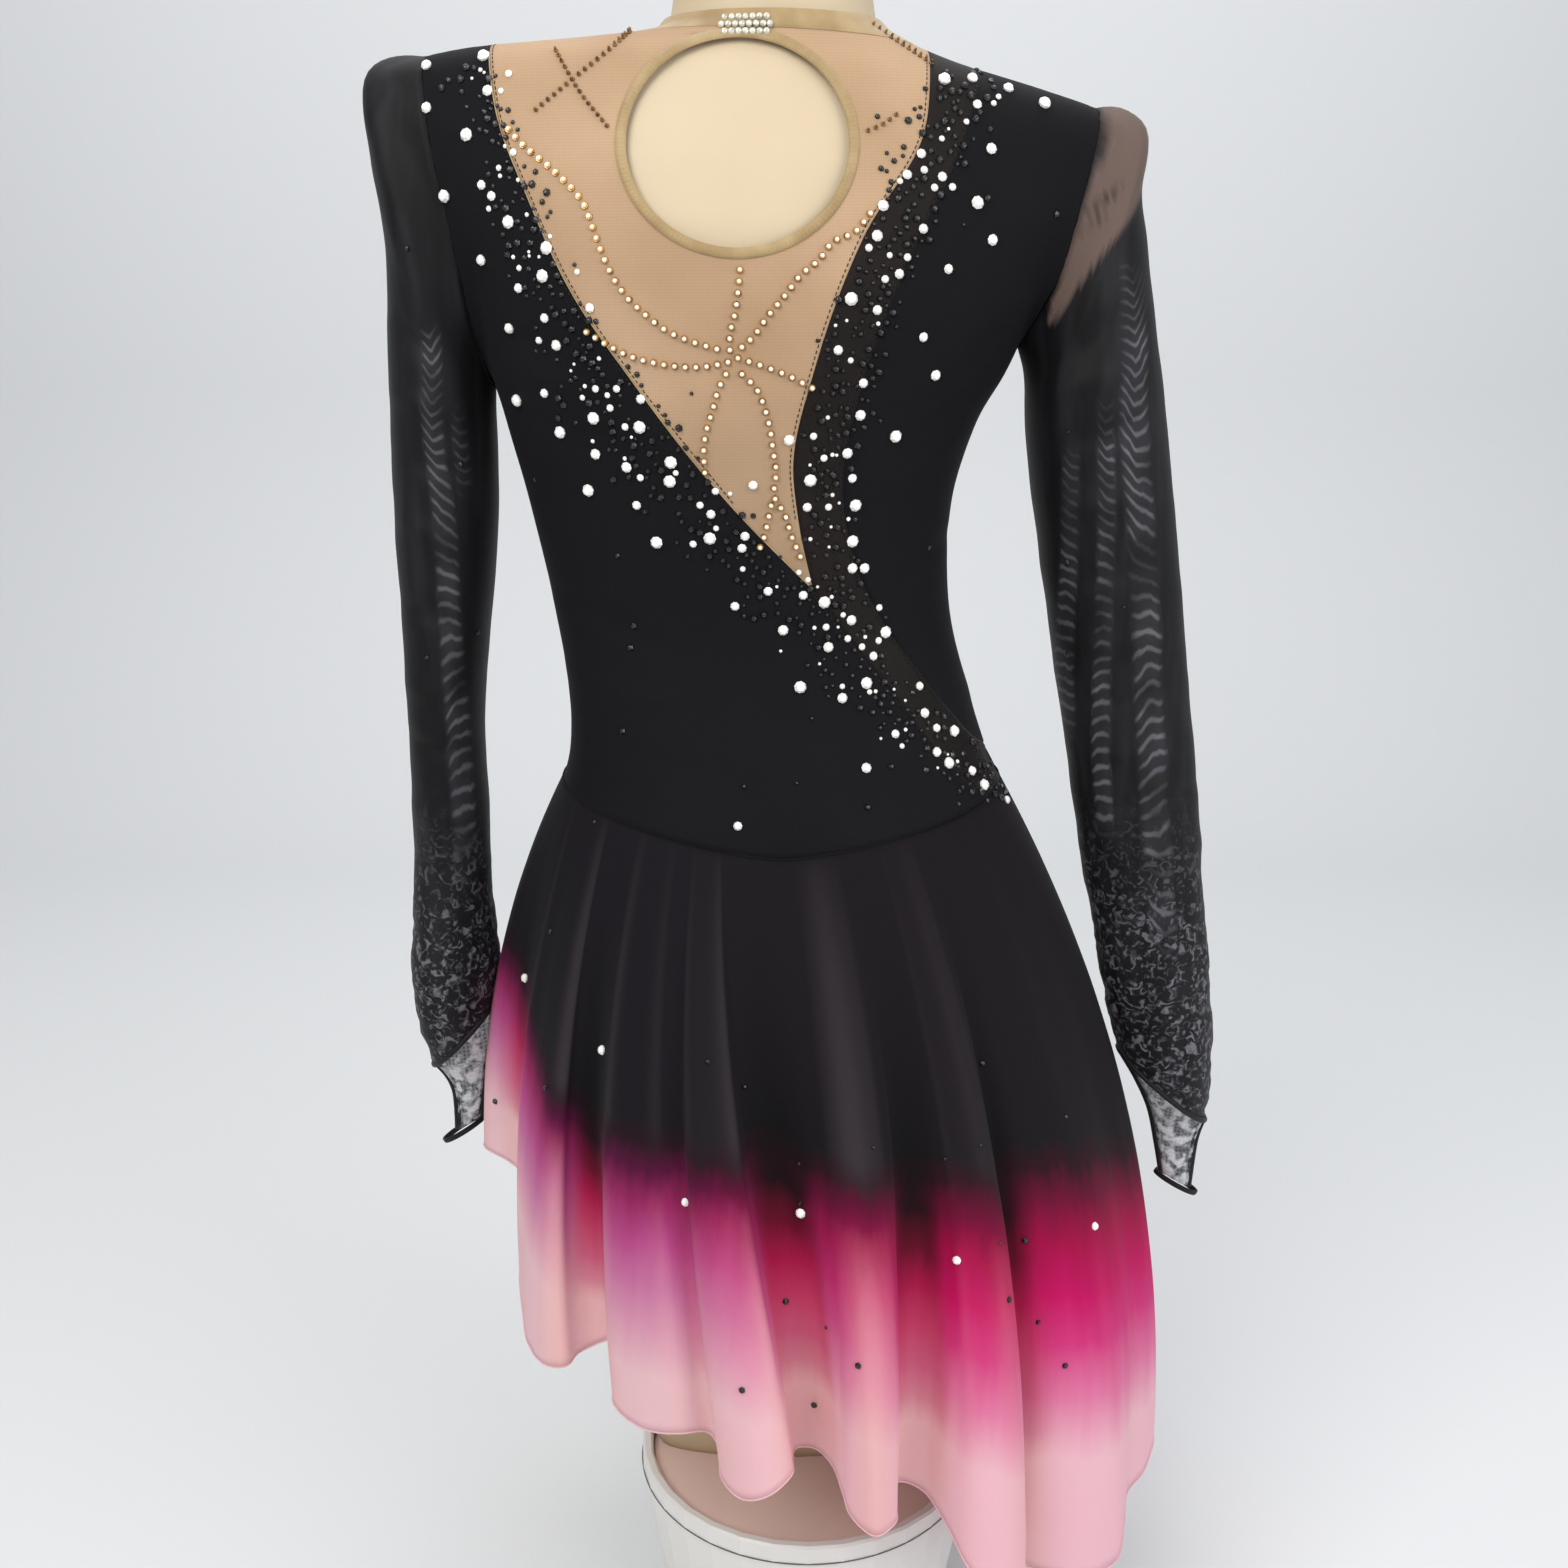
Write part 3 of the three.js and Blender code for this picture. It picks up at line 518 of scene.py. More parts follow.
WAVE_PERIOD = 0.314159     # metres between the bands of a wave texture at scale 1
TIP_SHADE = 110            # height above the neckline's tip over which the mesh's painted shade fades out


def knit(tree, place, course, strength, height=0.1):
    """Bump of a knit, its courses and wales a real distance apart in millimetres."""
    scale = WAVE_PERIOD / (course * MM)
    wales = node(tree, "TexWave", {"Vector": place, "Scale": scale, "Distortion": 0.4},
                 wave_type="BANDS", bands_direction="X")
    courses = node(tree, "TexWave", {"Vector": place, "Scale": scale * 0.8, "Distortion": 0.4},
                   wave_type="BANDS", bands_direction="Z")
    loops = node(tree, "Math", {0: wales.outputs["Fac"], 1: courses.outputs["Fac"]},
                 operation="MULTIPLY")
    bump = node(tree, "Bump", {"Height": loops.outputs[0], "Strength": strength,
                               "Distance": height * MM})
    return loops.outputs[0], bump.outputs[0]


def jersey():
    """Polyester and elastane jersey, matte black: a soft pale sheen where it turns away."""
    made, tree, place = start("black_stretch_jersey")
    clouds = node(tree, "TexNoise", {"Vector": place, "Scale": 9.0, "Detail": 3.0})
    tone = node(tree, "ValToRGB", {"Fac": clouds.outputs["Fac"]},
                stops=[(0.3, "060609"), (0.7, "0c0b10")])
    bump = knit(tree, place, 1.3, 0.25)[1]      # a real course is 0.5 mm, too fine to show
    cloth = node(tree, "BsdfPrincipled", {
        "Base Color": tone.outputs[0], "Roughness": 0.82, "IOR": 1.5, "Normal": bump,
        "Specular IOR Level": 0.18, "Sheen Weight": 0.05, "Sheen Roughness": 0.5,
        "Sheen Tint": linear("8c8490")})
    end(tree, cloth.outputs[0])
    return made


def sheer(name, colour, light, see_through, course, sheen, cloud=70, spread=0.25, low=1.0):
    """Nylon and elastane mesh: threads of one colour with open holes between them. A real course
    is 0.5 mm, too fine to show, so it is drawn two to five times coarser. Cloud is the size of
    its uneven patches in millimetres, spread how softly they pass into each other, and low how
    much of its colour is left near the tip of the neckline, where painted shade darkens it."""
    made, tree, place = start(name)
    loops, bump = knit(tree, place, course, 0.3)
    clouds = node(tree, "TexNoise", {"Vector": place, "Scale": 1 / (cloud * MM), "Detail": 2.0})
    tone = node(tree, "ValToRGB", {"Fac": clouds.outputs["Fac"]},
                stops=[(0.5 - spread, colour), (0.5 + spread, light)])
    # Painted shade: the colour darkens towards the neckline's tip and lightens over TIP_SHADE above
    # it.
    if low < 1:
        height = node(tree, "SeparateXYZ", {0: place})
        fall = node(tree, "MapRange", {"Value": height.outputs["Z"], "From Min": TIP * MM,
                                       "From Max": (TIP + TIP_SHADE) * MM, "To Min": low,
                                       "To Max": 1.0})
        tone = node(tree, "VectorMath", {0: tone.outputs[0], "Scale": fall.outputs[0]},
                    operation="SCALE")
    threads = node(tree, "BsdfPrincipled", {
        "Base Color": tone.outputs[0], "Roughness": 0.7, "IOR": 1.53, "Normal": bump,
        "Specular IOR Level": 0.2, "Sheen Weight": sheen, "Sheen Roughness": 0.45})
    holes = node(tree, "BsdfTransparent")
    gaps = node(tree, "MapRange", {"Value": loops, "From Min": 0.0, "From Max": 1.0,
                                   "To Min": see_through * 1.25, "To Max": see_through * 0.6})
    cloth = node(tree, "MixShader", {0: gaps.outputs[0], 1: threads.outputs[0],
                                     2: holes.outputs[0]})
    end(tree, cloth.outputs[0])
    return made


def sleeve_mesh():
    """Black power mesh in two turns round the arm, under soft streaks of painted light and shade:
    chevrons of painted light where the turns meet, painted glints in the crushed cloth at the
    wrist, and one see-through strip on the shoulder."""
    made, tree, place = start("black_power_mesh")
    bump = knit(tree, place, 1.4, 0.3)[1]       # a real course is 0.5 mm, too fine to show
    phase, band, crush, strip = (node(tree, "Attribute", attribute_name=name)
                                 for name in ("phase", "band", "crush", "strip"))
    long_way = node(tree, "Mapping", {"Vector": place, "Scale": (1.0, 1.0, 0.3)})
    wander = node(tree, "TexNoise", {"Vector": long_way.outputs[0], "Scale": 75.0, "Detail": 2.0})
    shaken = node(tree, "Math", {0: wander.outputs["Fac"], 1: 9.0, 2: phase.outputs["Fac"]},
                  operation="MULTIPLY_ADD")
    waves = node(tree, "Math", {0: shaken.outputs[0]}, operation="SINE")
    lines = node(tree, "ValToRGB", {"Fac": waves.outputs[0]},
                 stops=[(0.0, 0.16), (0.45, 0.34), (0.9, 1.0)])
    patches = node(tree, "TexNoise", {"Vector": place, "Scale": 26.0, "Detail": 2.0})
    faded = node(tree, "ValToRGB", {"Fac": patches.outputs["Fac"]},
                 stops=[(0.38, 0.15), (0.62, 1.0)])
    shown = node(tree, "Math", {0: faded.outputs[0], 1: band.outputs["Fac"]}, operation="MULTIPLY")
    lit = node(tree, "Math", {0: lines.outputs[0], 1: shown.outputs[0]}, operation="MULTIPLY")
    # Painted glints of the crushed cloth at the wrist.
    crushed = node(tree, "TexNoise", {"Vector": place, "Scale": 190.0, "Detail": 2.0,
                                      "Distortion": 1.2})
    glints = node(tree, "ValToRGB", {"Fac": crushed.outputs["Fac"]},
                  stops=[(0.5, 0.0), (0.58, 0.35), (0.65, 1.0)])
    spark = node(tree, "Math", {0: glints.outputs[0], 1: crush.outputs["Fac"]},
                 operation="MULTIPLY")
    light = node(tree, "Math", {0: lit.outputs[0], 1: spark.outputs[0]}, operation="MAXIMUM")
    # Soft vertical streaks of painted light and shade over the black.
    drawn = node(tree, "Mapping", {"Vector": place, "Scale": (1.0, 1.0, 0.12)})
    streaks = node(tree, "TexNoise", {"Vector": drawn.outputs[0], "Scale": 70.0, "Detail": 2.0})
    base = node(tree, "ValToRGB", {"Fac": streaks.outputs["Fac"]},
                stops=[(0.45, "070609"), (0.7, "1b1a1f")])
    # The painted light of the bands and of the glints lightens the black towards grey.
    black = node(tree, "Mix", {0: light.outputs[0], 6: base.outputs[0], 7: linear("69686e")},
                 data_type="RGBA")
    tone = node(tree, "Mix", {0: strip.outputs["Fac"], 6: black.outputs[2], 7: linear("6e5c54")},
                data_type="RGBA")
    threads = node(tree, "BsdfPrincipled", {
        "Base Color": tone.outputs[2], "Roughness": 0.62, "IOR": 1.53, "Normal": bump,
        "Sheen Weight": 0.04, "Sheen Roughness": 0.4, "Specular IOR Level": 0.2})
    holes = node(tree, "BsdfTransparent")
    open_part = node(tree, "MapRange", {"Value": strip.outputs["Fac"], "To Min": 0.03,
                                        "To Max": 0.3})
    cloth = node(tree, "MixShader", {0: open_part.outputs[0], 1: threads.outputs[0],
                                     2: holes.outputs[0]})
    end(tree, cloth.outputs[0])
    return made


def dyed_chiffon():
    """Polyester chiffon, dip-dyed from black to pale pink: light comes through it, most at the
    pale hem. Deep folds are painted redder and darker as shade, and the flutes' crests carry a
    painted highlight."""
    made, tree, place = start("dip_dyed_chiffon")
    dye, side, fold, rim = (node(tree, "Attribute", attribute_name=name)
                            for name in ("dye", "side", "fold", "rim"))
    long_way = node(tree, "Mapping", {"Vector": place, "Scale": (1.0, 1.0, 0.06)})
    bleed = node(tree, "TexNoise", {"Vector": long_way.outputs[0], "Scale": 55.0, "Detail": 3.0,
                                    "Roughness": 0.6})
    shifted = node(tree, "MapRange", {"Value": bleed.outputs["Fac"], "From Min": 0.3,
                                      "From Max": 0.7, "To Min": -0.03, "To Max": 0.03})
    level = node(tree, "Math", {0: dye.outputs["Fac"], 1: shifted.outputs[0]}, operation="ADD")
    mauve = node(tree, "ValToRGB", {"Fac": level.outputs[0]}, stops=[
        (0.0, "19161c"), (0.09, "2a111e"), (0.18, "5c113c"), (0.3, "a02a64"), (0.46, "c45294"),
        (0.62, "d47eae"), (0.8, "e8aac4"), (1.0, "f6d2d8")])
    crimson = node(tree, "ValToRGB", {"Fac": level.outputs[0]}, stops=[
        (0.0, "1b161a"), (0.08, "34101e"), (0.18, "740a36"), (0.3, "ae074a"), (0.46, "d01068"),
        (0.62, "de3c88"), (0.8, "ec86b2"), (1.0, "f8ccd6")])
    open_face = node(tree, "Mix", {0: side.outputs["Fac"], 6: mauve.outputs[0],
                                   7: crimson.outputs[0]}, data_type="RGBA")
    # Painted shade: deep folds are coloured darker and redder.
    shaded_fold_colours = node(tree, "ValToRGB", {"Fac": level.outputs[0]}, stops=[
        (0.0, "0a080a"), (0.2, "1a070d"), (0.34, "6e0a2a"), (0.48, "b61a50"), (0.62, "d04470"),
        (0.78, "dc6c90"), (0.9, "e698aa"), (1.0, "f6cacc")])
    tone = node(tree, "Mix", {0: fold.outputs["Fac"], 6: open_face.outputs[2],
                              7: shaded_fold_colours.outputs[0]}, data_type="RGBA")
    # Painted highlight: the flutes' crests are lightened to pale peach in the dyed cloth and to
    # grey in the black.
    pale = node(tree, "MapRange", {"Value": level.outputs[0], "From Min": 0.22, "From Max": 0.6,
                                   "To Min": 0.0, "To Max": 0.5})
    shown = node(tree, "Math", {0: rim.outputs["Fac"], 1: pale.outputs[0]}, operation="MULTIPLY")
    tone = node(tree, "Mix", {0: shown.outputs[0], 6: tone.outputs[2], 7: linear("f4c2b8")},
                data_type="RGBA")
    dark = node(tree, "MapRange", {"Value": level.outputs[0], "From Min": 0.0, "From Max": 0.14,
                                   "To Min": 1.0, "To Max": 0.0})
    lit_crest = node(tree, "Math", {0: rim.outputs["Fac"], 1: dark.outputs[0]},
                     operation="MULTIPLY")
    tone = node(tree, "Mix", {0: lit_crest.outputs[0], 6: tone.outputs[2], 7: linear("463e42")},
                data_type="RGBA")
    bump = knit(tree, place, 1.0, 0.12)[1]      # a real thread is 0.2 mm, too fine to show
    face = node(tree, "BsdfPrincipled", {
        "Base Color": tone.outputs[2], "Roughness": 0.8, "IOR": 1.5, "Normal": bump,
        "Specular IOR Level": 0.15, "Sheen Weight": 0.04, "Sheen Roughness": 0.5})
    glow = node(tree, "BsdfTranslucent", {"Color": tone.outputs[2]})
    lit = node(tree, "MixShader", {0: 0.3, 1: face.outputs[0], 2: glow.outputs[0]})
    open_part = node(tree, "MapRange", {"Value": level.outputs[0], "From Min": 0.3,
                                        "From Max": 1.0, "To Min": 0.0, "To Max": 0.16})
    holes = node(tree, "BsdfTransparent")
    cloth = node(tree, "MixShader", {0: open_part.outputs[0], 1: lit.outputs[0],
                                     2: holes.outputs[0]})
    end(tree, cloth.outputs[0])
    return made


def elastic():
    """Woven nylon elastic, tan: fine ribs across the tape."""
    made, tree, place = start("tan_woven_elastic")
    bump = knit(tree, place, 1.1, 0.5)[1]
    clouds = node(tree, "TexNoise", {"Vector": place, "Scale": 60.0, "Detail": 2.0})
    tone = node(tree, "ValToRGB", {"Fac": clouds.outputs["Fac"]},
                stops=[(0.3, "93784c"), (0.7, "a88f62")])
    tape = node(tree, "BsdfPrincipled", {
        "Base Color": tone.outputs[0], "Roughness": 0.6, "IOR": 1.53, "Normal": bump,
        "Sheen Weight": 0.3})
    end(tree, tape.outputs[0])
    return made


def stone(name, colour, light, roughness, metallic=0.0, coat=1.0):
    """Cut glass with a foiled back, or resin pearl: bright faces under a clear hard coat."""
    made, tree, place = start(name)
    cells = node(tree, "TexVoronoi", {"Vector": place, "Scale": 300.0})
    tone = node(tree, "ValToRGB", {"Fac": cells.outputs["Distance"]},
                stops=[(0.1, colour), (0.6, light)])
    gem = node(tree, "BsdfPrincipled", {
        "Base Color": tone.outputs[0], "Roughness": roughness, "IOR": 1.55,
        "Metallic": metallic, "Coat Weight": coat, "Coat Roughness": 0.04})
    end(tree, gem.outputs[0])
    return made


def moulded(name, colour, light, roughness, grain, depth, rounding=0.0):
    """Moulded plastic or a coated shell: faint clouds and the grain of the mould. Rounding is
    the radius in millimetres over which the shell's faces run into each other."""
    made, tree, place = start(name)
    clouds = node(tree, "TexNoise", {"Vector": place, "Scale": 5.0, "Detail": 4.0})
    tone = node(tree, "ValToRGB", {"Fac": clouds.outputs["Fac"]},
                stops=[(0.3, colour), (0.7, light)])
    fine = node(tree, "TexNoise", {"Vector": place, "Scale": 1 / (grain * MM), "Detail": 2.0})
    bump = node(tree, "Bump", {"Height": fine.outputs["Fac"], "Strength": depth,
                               "Distance": 0.1 * MM})
    if rounding:
        rounded = node(tree, "Bevel", {"Radius": rounding * MM}, samples=8)
        tree.links.new(rounded.outputs[0], bump.inputs["Normal"])
    shell = node(tree, "BsdfPrincipled", {
        "Base Color": tone.outputs[0], "Roughness": roughness, "IOR": 1.46,
        "Normal": bump.outputs[0]})
    end(tree, shell.outputs[0])
    return made


JERSEY = jersey()
SLEEVE_MESH = sleeve_mesh()
CHIFFON = dyed_chiffon()
ELASTIC = elastic()
NUDE_MESH = sheer("nude_power_mesh", "b29272", "c4a484", 0.18, 1.2, 0.08, low=0.74)
BLACK_MESH = sheer("sheer_black_mesh", "100b09", "1c1310", 0.14, 1.2, 0.04)
HAND_MESH = sheer("single_black_mesh", "1a191d", "c6c8cd", 0.34, 2.4, 0.1, cloud=6, spread=0.09)
PEARL = stone("white_pearl_stone", "e9e4df", "fbf8f4", 0.16)
BEAD = stone("gold_lit_pearl", "ecd9b4", "fff6e2", 0.2)
CLEAR = stone("clear_crystal", "a8a698", "e2dfd0", 0.1, 0.25)
JET = stone("jet_glass", "030304", "0b0a0d", 0.3, 0.0, 0.2)
GOLD = stone("gold_claw_bead", "8a5c28", "cc9c54", 0.28, 0.8, 0.3)
BRONZE = stone("bronze_seed_bead", "4e3418", "8c683c", 0.36, 0.4, 0.2)
SHELL = moulded("cream_form_shell", "c0ad8d", "c8b699", 0.5, 0.9, 0.15, 18)
BASE_WHITE = moulded("white_moulded_base", "dcdad6", "e6e4e0", 0.36, 0.7, 0.08)
# Painted shadow under the base's rim.
JOINT_SHADOW = moulded("shadowed_joint", "5c5a58", "6c6a68", 0.6, 0.7, 0.1)
# Painted light: the plate's pink is the skirt's reflected light, and it is painted paler to lift
# the shade under the skirt.
PLATE_WITH_PAINTED_LIGHT = moulded("base_plate_painted_light", "e0c4ba", "ead2c8", 0.6, 1.1, 0.2)


# ---------------------------------------------------------------- bodice
def waist_height(x, dip):
    """Height of the waist seam, which dips towards the middle of the back and the front."""
    left, right = TORSO[1][0], TORSO[1][2]
    across = np.abs(2 * x - left - right) / (right - left)
    return WAIST_SIDE - dip * np.clip(1 - across ** WAIST_POWER, 0, None)


ROW, FINE_ROW = 3.6, 1.3   # heights of the bodice's rows, below and on the shoulders
SHOULDER = 935             # where the shoulders begin
HEIGHTS = np.concatenate([np.arange(WAIST_SIDE, SHOULDER, ROW),
                          np.arange(SHOULDER, 990, FINE_ROW)])


def panel(x_from, x_to, front, bottom=WAIST_SIDE, top=COLLAR_BOTTOM, step=ROW):
    """Rows of points of one panel of the bodice between two seams, from the bottom up."""
    dip = WAIST_DIP_FRONT if front else WAIST_DIP_BACK
    low = lambda z: max(x_from(z), left_side(z))
    high = lambda z: min(x_to(z), right_side(z))
    fine = np.arange(bottom, top + 0.01, 0.2)
    there = [z for z in fine if low(z) < high(z) - 0.01]
    first, last = there[0], there[-1]
    heights = [first] + [z for z in HEIGHTS if first + 0.5 < z < last - 0.5] + [last]
    widest = max(high(z) - low(z) for z in heights)
    columns = max(3, int(widest * 1.25 / step))
    xs, zs = [], []
    for z in heights:
        middle = (left_side(z) + right_side(z)) / 2
        half = (right_side(z) - left_side(z)) / 2
        angle = lambda x: math.acos(min(1, max(-1, (middle - x) / half)))
        turn = np.linspace(angle(low(z)), angle(high(z)), columns)
        x = middle - half * np.cos(turn)
        fade = 1 - soft_step(0, WAIST_FADE, z - WAIST_SIDE)
        xs.append(x)
        zs.append(z - (WAIST_SIDE - waist_height(x, dip)) * fade)
    x, z = np.concatenate(xs), np.concatenate(zs)
    y = dress_depth(x, z, front) * (1 if front else -1)
    return np.stack([x, y, z], axis=1), tube_faces(len(heights), columns)


v_or_diagonal_left = lambda z: v_left(z) if z > TIP else diagonal(z)
v_or_diagonal_right = lambda z: v_right(z) if z > TIP else diagonal(z)


def bodice_piece(name, panels, finish, slot, stands_for):
    """One cut piece of the bodice, made of one or more panels."""
    return make(name, *joined(panels), finish, slot, [stands_for], outward=(-30, 0, 780))


def with_keyhole(points, faces, width, height):
    """The yoke without the cells inside the keyhole; the corners left inside move onto its rim."""
    across, up = points[:, 0] - KEYHOLE["x"], points[:, 2] - KEYHOLE["z"]
    reach = np.hypot(across / width, up / height)
    kept = [face for face in faces if any(reach[i] >= 1 for i in face)]
    rim = np.array(sorted({i for face in kept for i in face if reach[i] < 1}))
    points[rim, 0] = KEYHOLE["x"] + across[rim] / reach[rim]
    points[rim, 2] = KEYHOLE["z"] + up[rim] / reach[rim]
    points[rim, 1] = -dress_depth(points[rim, 0], points[rim, 2], False)
    return points, kept


UNDER_TAPE = 2.5           # how far the mesh runs on under the keyhole's tape
YOKE_TOP = COLLAR_BOTTOM + 2.2
CENTRE = SCOOP_LEFT[-1]
back_yoke = bodice_piece("yoke_back", [with_keyhole(
    *panel(v_left, v_right, False, TIP, YOKE_TOP, 3.0),
    KEYHOLE["half_width"] + UNDER_TAPE, KEYHOLE["half_height"] + UNDER_TAPE)],
    NUDE_MESH, "nude_mesh", "back_yoke")
back_left = bodice_piece("panel_back_left", [panel(left_armhole, v_or_diagonal_left, False)],
                         JERSEY, "black_cloth", "back_left_panel")
back_band = bodice_piece("band_back", [panel(v_or_diagonal_right, band_edge, False)],
                         BLACK_MESH, "black_mesh", "back_mesh_band")
back_right = bodice_piece("panel_back_right", [panel(band_edge, right_armhole, False)],
                          JERSEY, "black_cloth", "back_right_panel")
split_left = lambda z: scoop_left(z) if z > CENTRE[1] else CENTRE[0]
split_right = lambda z: scoop_right(z) if z > CENTRE[1] else CENTRE[0]
front = bodice_piece("panel_front", [panel(left_armhole, split_left, True),
                                     panel(split_right, right_armhole, True)],
                     JERSEY, "black_cloth", "front_panel")
front_yoke = bodice_piece("yoke_front", [panel(scoop_left, scoop_right, True, CENTRE[1], YOKE_TOP)],
                          NUDE_MESH, "nude_mesh", "front_yoke")

# Pulls in the back left panel and the lower back: from, to, how wide and how far in or out.
BODICE_CREASES = [
    (-172, 838, -122, 826, 5, -1.6),
    (-170, 822, -112, 806, 4, 1.3),
    (-165, 800, -100, 772, 6, -1.2),
    (-150, 700, -62, 664, 6, -1.1),
    (-143, 650, -70, 640, 5, 1.0),
    (-138, 622, -40, 598, 7, -1.0),
    (104, 842, 70, 806, 5, -1.4),
    (88, 790, 44, 756, 6, 1.1),
    (84, 730, 40, 700, 5, -1.0),
    (100, 640, 30, 596, 7, 1.0),
    (120, 600, 60, 588, 5, -0.9),
]
for piece in (back_left, back_band, back_right, front):
    co = places(piece)
    push(piece, creased(co, BODICE_CREASES) + 0.25 * rough(co, 38, (1, 1, 0.7)))

# ---------------------------------------------------------------- sleeves
# The see-through strip beside the right armhole: its middle line, seen from behind, its half
# width at each height, and the dark folds across it, as creases are given.
STRIP = [[172, 957], [171, 942], [166, 922], [156, 903], [144, 880], [134, 858], [128, 842]]
STRIP_WIDTHS = ([842, 858, 880, 903, 922, 942, 957], [2, 4.5, 9.5, 14.5, 16, 18, 18])
STRIP_FOLDS = [(141, 895, 163, 911, 1.7, 1.0), (138, 885, 156, 897, 1.3, 0.8)]

# Painted light where the two turns of a sleeve's mesh let light show between them, seen from
# behind: the line that each painted band follows, its half width, and how bright it is.
BANDS = {
    "right": [
        ([[168, 872], [170, 861], [174, 796], [178, 758], [183, 719], [189, 665], [196, 602],
          [207, 517], [214, 470]], 8.0, 0.85),
        ([[157, 800], [159, 777], [162, 732], [164, 679], [168, 602], [175, 542]], 4.5, 0.8),
        ([[141, 775], [142, 758], [144, 716], [146, 665], [152, 600]], 4.0, 0.55),
        ([[140, 884], [146, 872], [156, 852]], 6.0, 0.3),
    ],
    "left": [
        ([[-202, 838], [-202, 823], [-204, 779], [-201, 738], [-202, 685], [-202, 602],
          [-203, 530]], 5.5, 0.6),
        ([[-191, 800], [-191, 791], [-190, 759], [-191, 745]], 3.5, 0.45),
    ],
}
STRIPE = 6.4               # height between two chevrons at the top of a band
TALLER = 0.0028            # how much further apart they are per millimetre down
CHEVRON = 1.1              # how steeply their arms drop
LEAN = 0.8                 # how far a stripe slants to one side, now one way and now the other
SLEEVE_LENGTH = 620        # of the longest row from armhole to wrist
CRUSHED = (430, 560)       # heights between which the crushed cloth at the wrist smooths out
GLINTS = (455, 590)        # and its painted glints fade
BODY_MIDDLE, BODY_HALF = -34, 142      # X of the body's middle, and where the arms leave it


def sleeve(name, fine, armhole, sign, columns=112, spacing=4.0):
    """A tube from the armhole seam to the slanted wrist edge, its top run into the shoulder."""
    turn = np.linspace(0, 2 * np.pi, columns, endpoint=False)
    ax, az, bx, bz, back, front_reach = fine[:, :6].T
    xs = ((ax + bx) / 2)[:, None] + ((bx - ax) / 2)[:, None] * np.cos(turn)
    zs = ((az + bz) / 2)[:, None] + ((bz - az) / 2)[:, None] * np.cos(turn)
    reach = np.where(np.sin(turn) < 0, front_reach[:, None], back[:, None])
    own = reach * np.abs(np.sin(turn))
    inside = sign * (xs - np.vectorize(armhole)(zs)) < 0
    rows = int(SLEEVE_LENGTH / spacing)
    points = np.zeros((rows, columns, 3))
    share = np.linspace(0, 1, rows) ** 0.97
    for c in range(columns):
        first = np.nonzero(inside[:, c])[0]
        begin = first[-1] + 1 if len(first) else 0
        line = np.stack([xs[begin:, c], zs[begin:, c], own[begin:, c]], axis=1)
        run = lengths(line)
        at = [np.interp(share * run[-1], run, line[:, k]) for k in range(3)]
        points[:, c, 0], points[:, c, 2] = at[0], at[1]
        points[:, c, 1] = at[2]
    flat = points.reshape(-1, 3)
    behind = np.tile(np.sin(turn) >= 0, rows)
    for side, mask in ((False, behind), (True, ~behind)):
        body = across_depth(flat[mask, 0], flat[mask, 2], torso_fine, 5 if side else 4)
        flat[mask, 1] = melted(flat[mask, 1], body) * (1 if side else -1)
    centre = flat.mean(axis=0)
    stands = [f"{name}_sleeve_{part}" for part in ("upper", "middle", "wrist")]
    return make(f"sleeve_{name}", flat, tube_faces(rows, columns, closed=True), SLEEVE_MESH,
                "power_mesh", stands, outward=centre)


left_sleeve = sleeve("left", sleeve_fine["left"], left_armhole, -1)
right_sleeve = sleeve("right", sleeve_fine["right"], right_armhole, 1)

# Drag lines of the sleeves, seen from behind: from, to, how wide and how far in or out.
SLEEVE_CREASES = [
    (142, 897, 161, 909, 3.5, -1.4),
    (139, 888, 159, 903, 3.0, 1.2),
    (128, 815, 168, 850, 7, -3.0),
    (126, 800, 176, 822, 6, 2.2),
    (130, 776, 186, 792, 7, -2.4),
    (136, 740, 196, 752, 6, 1.6),
    (146, 700, 204, 716, 6, -1.8),
    (150, 664, 216, 672, 7, 1.5),
    (158, 628, 216, 646, 5, -1.8),
    (164, 600, 226, 606, 6, 1.5),
    (168, 566, 232, 580, 5, -1.8),
    (176, 540, 238, 540, 6, 1.6),
    (176, 512, 236, 524, 4, -1.8),
    (-186, 812, -226, 846, 7, -2.6),
    (-184, 790, -232, 806, 6, 2.0),
    (-182, 760, -228, 772, 7, -2.0),
    (-186, 720, -232, 738, 6, 1.5),
    (-190, 676, -232, 690, 6, -1.7),
    (-194, 636, -232, 640, 6, 1.4),
    (-196, 600, -234, 610, 5, -1.6),
    (-196, 560, -236, 566, 6, 1.5),
    (-196, 530, -238, 534, 5, -1.7),
]
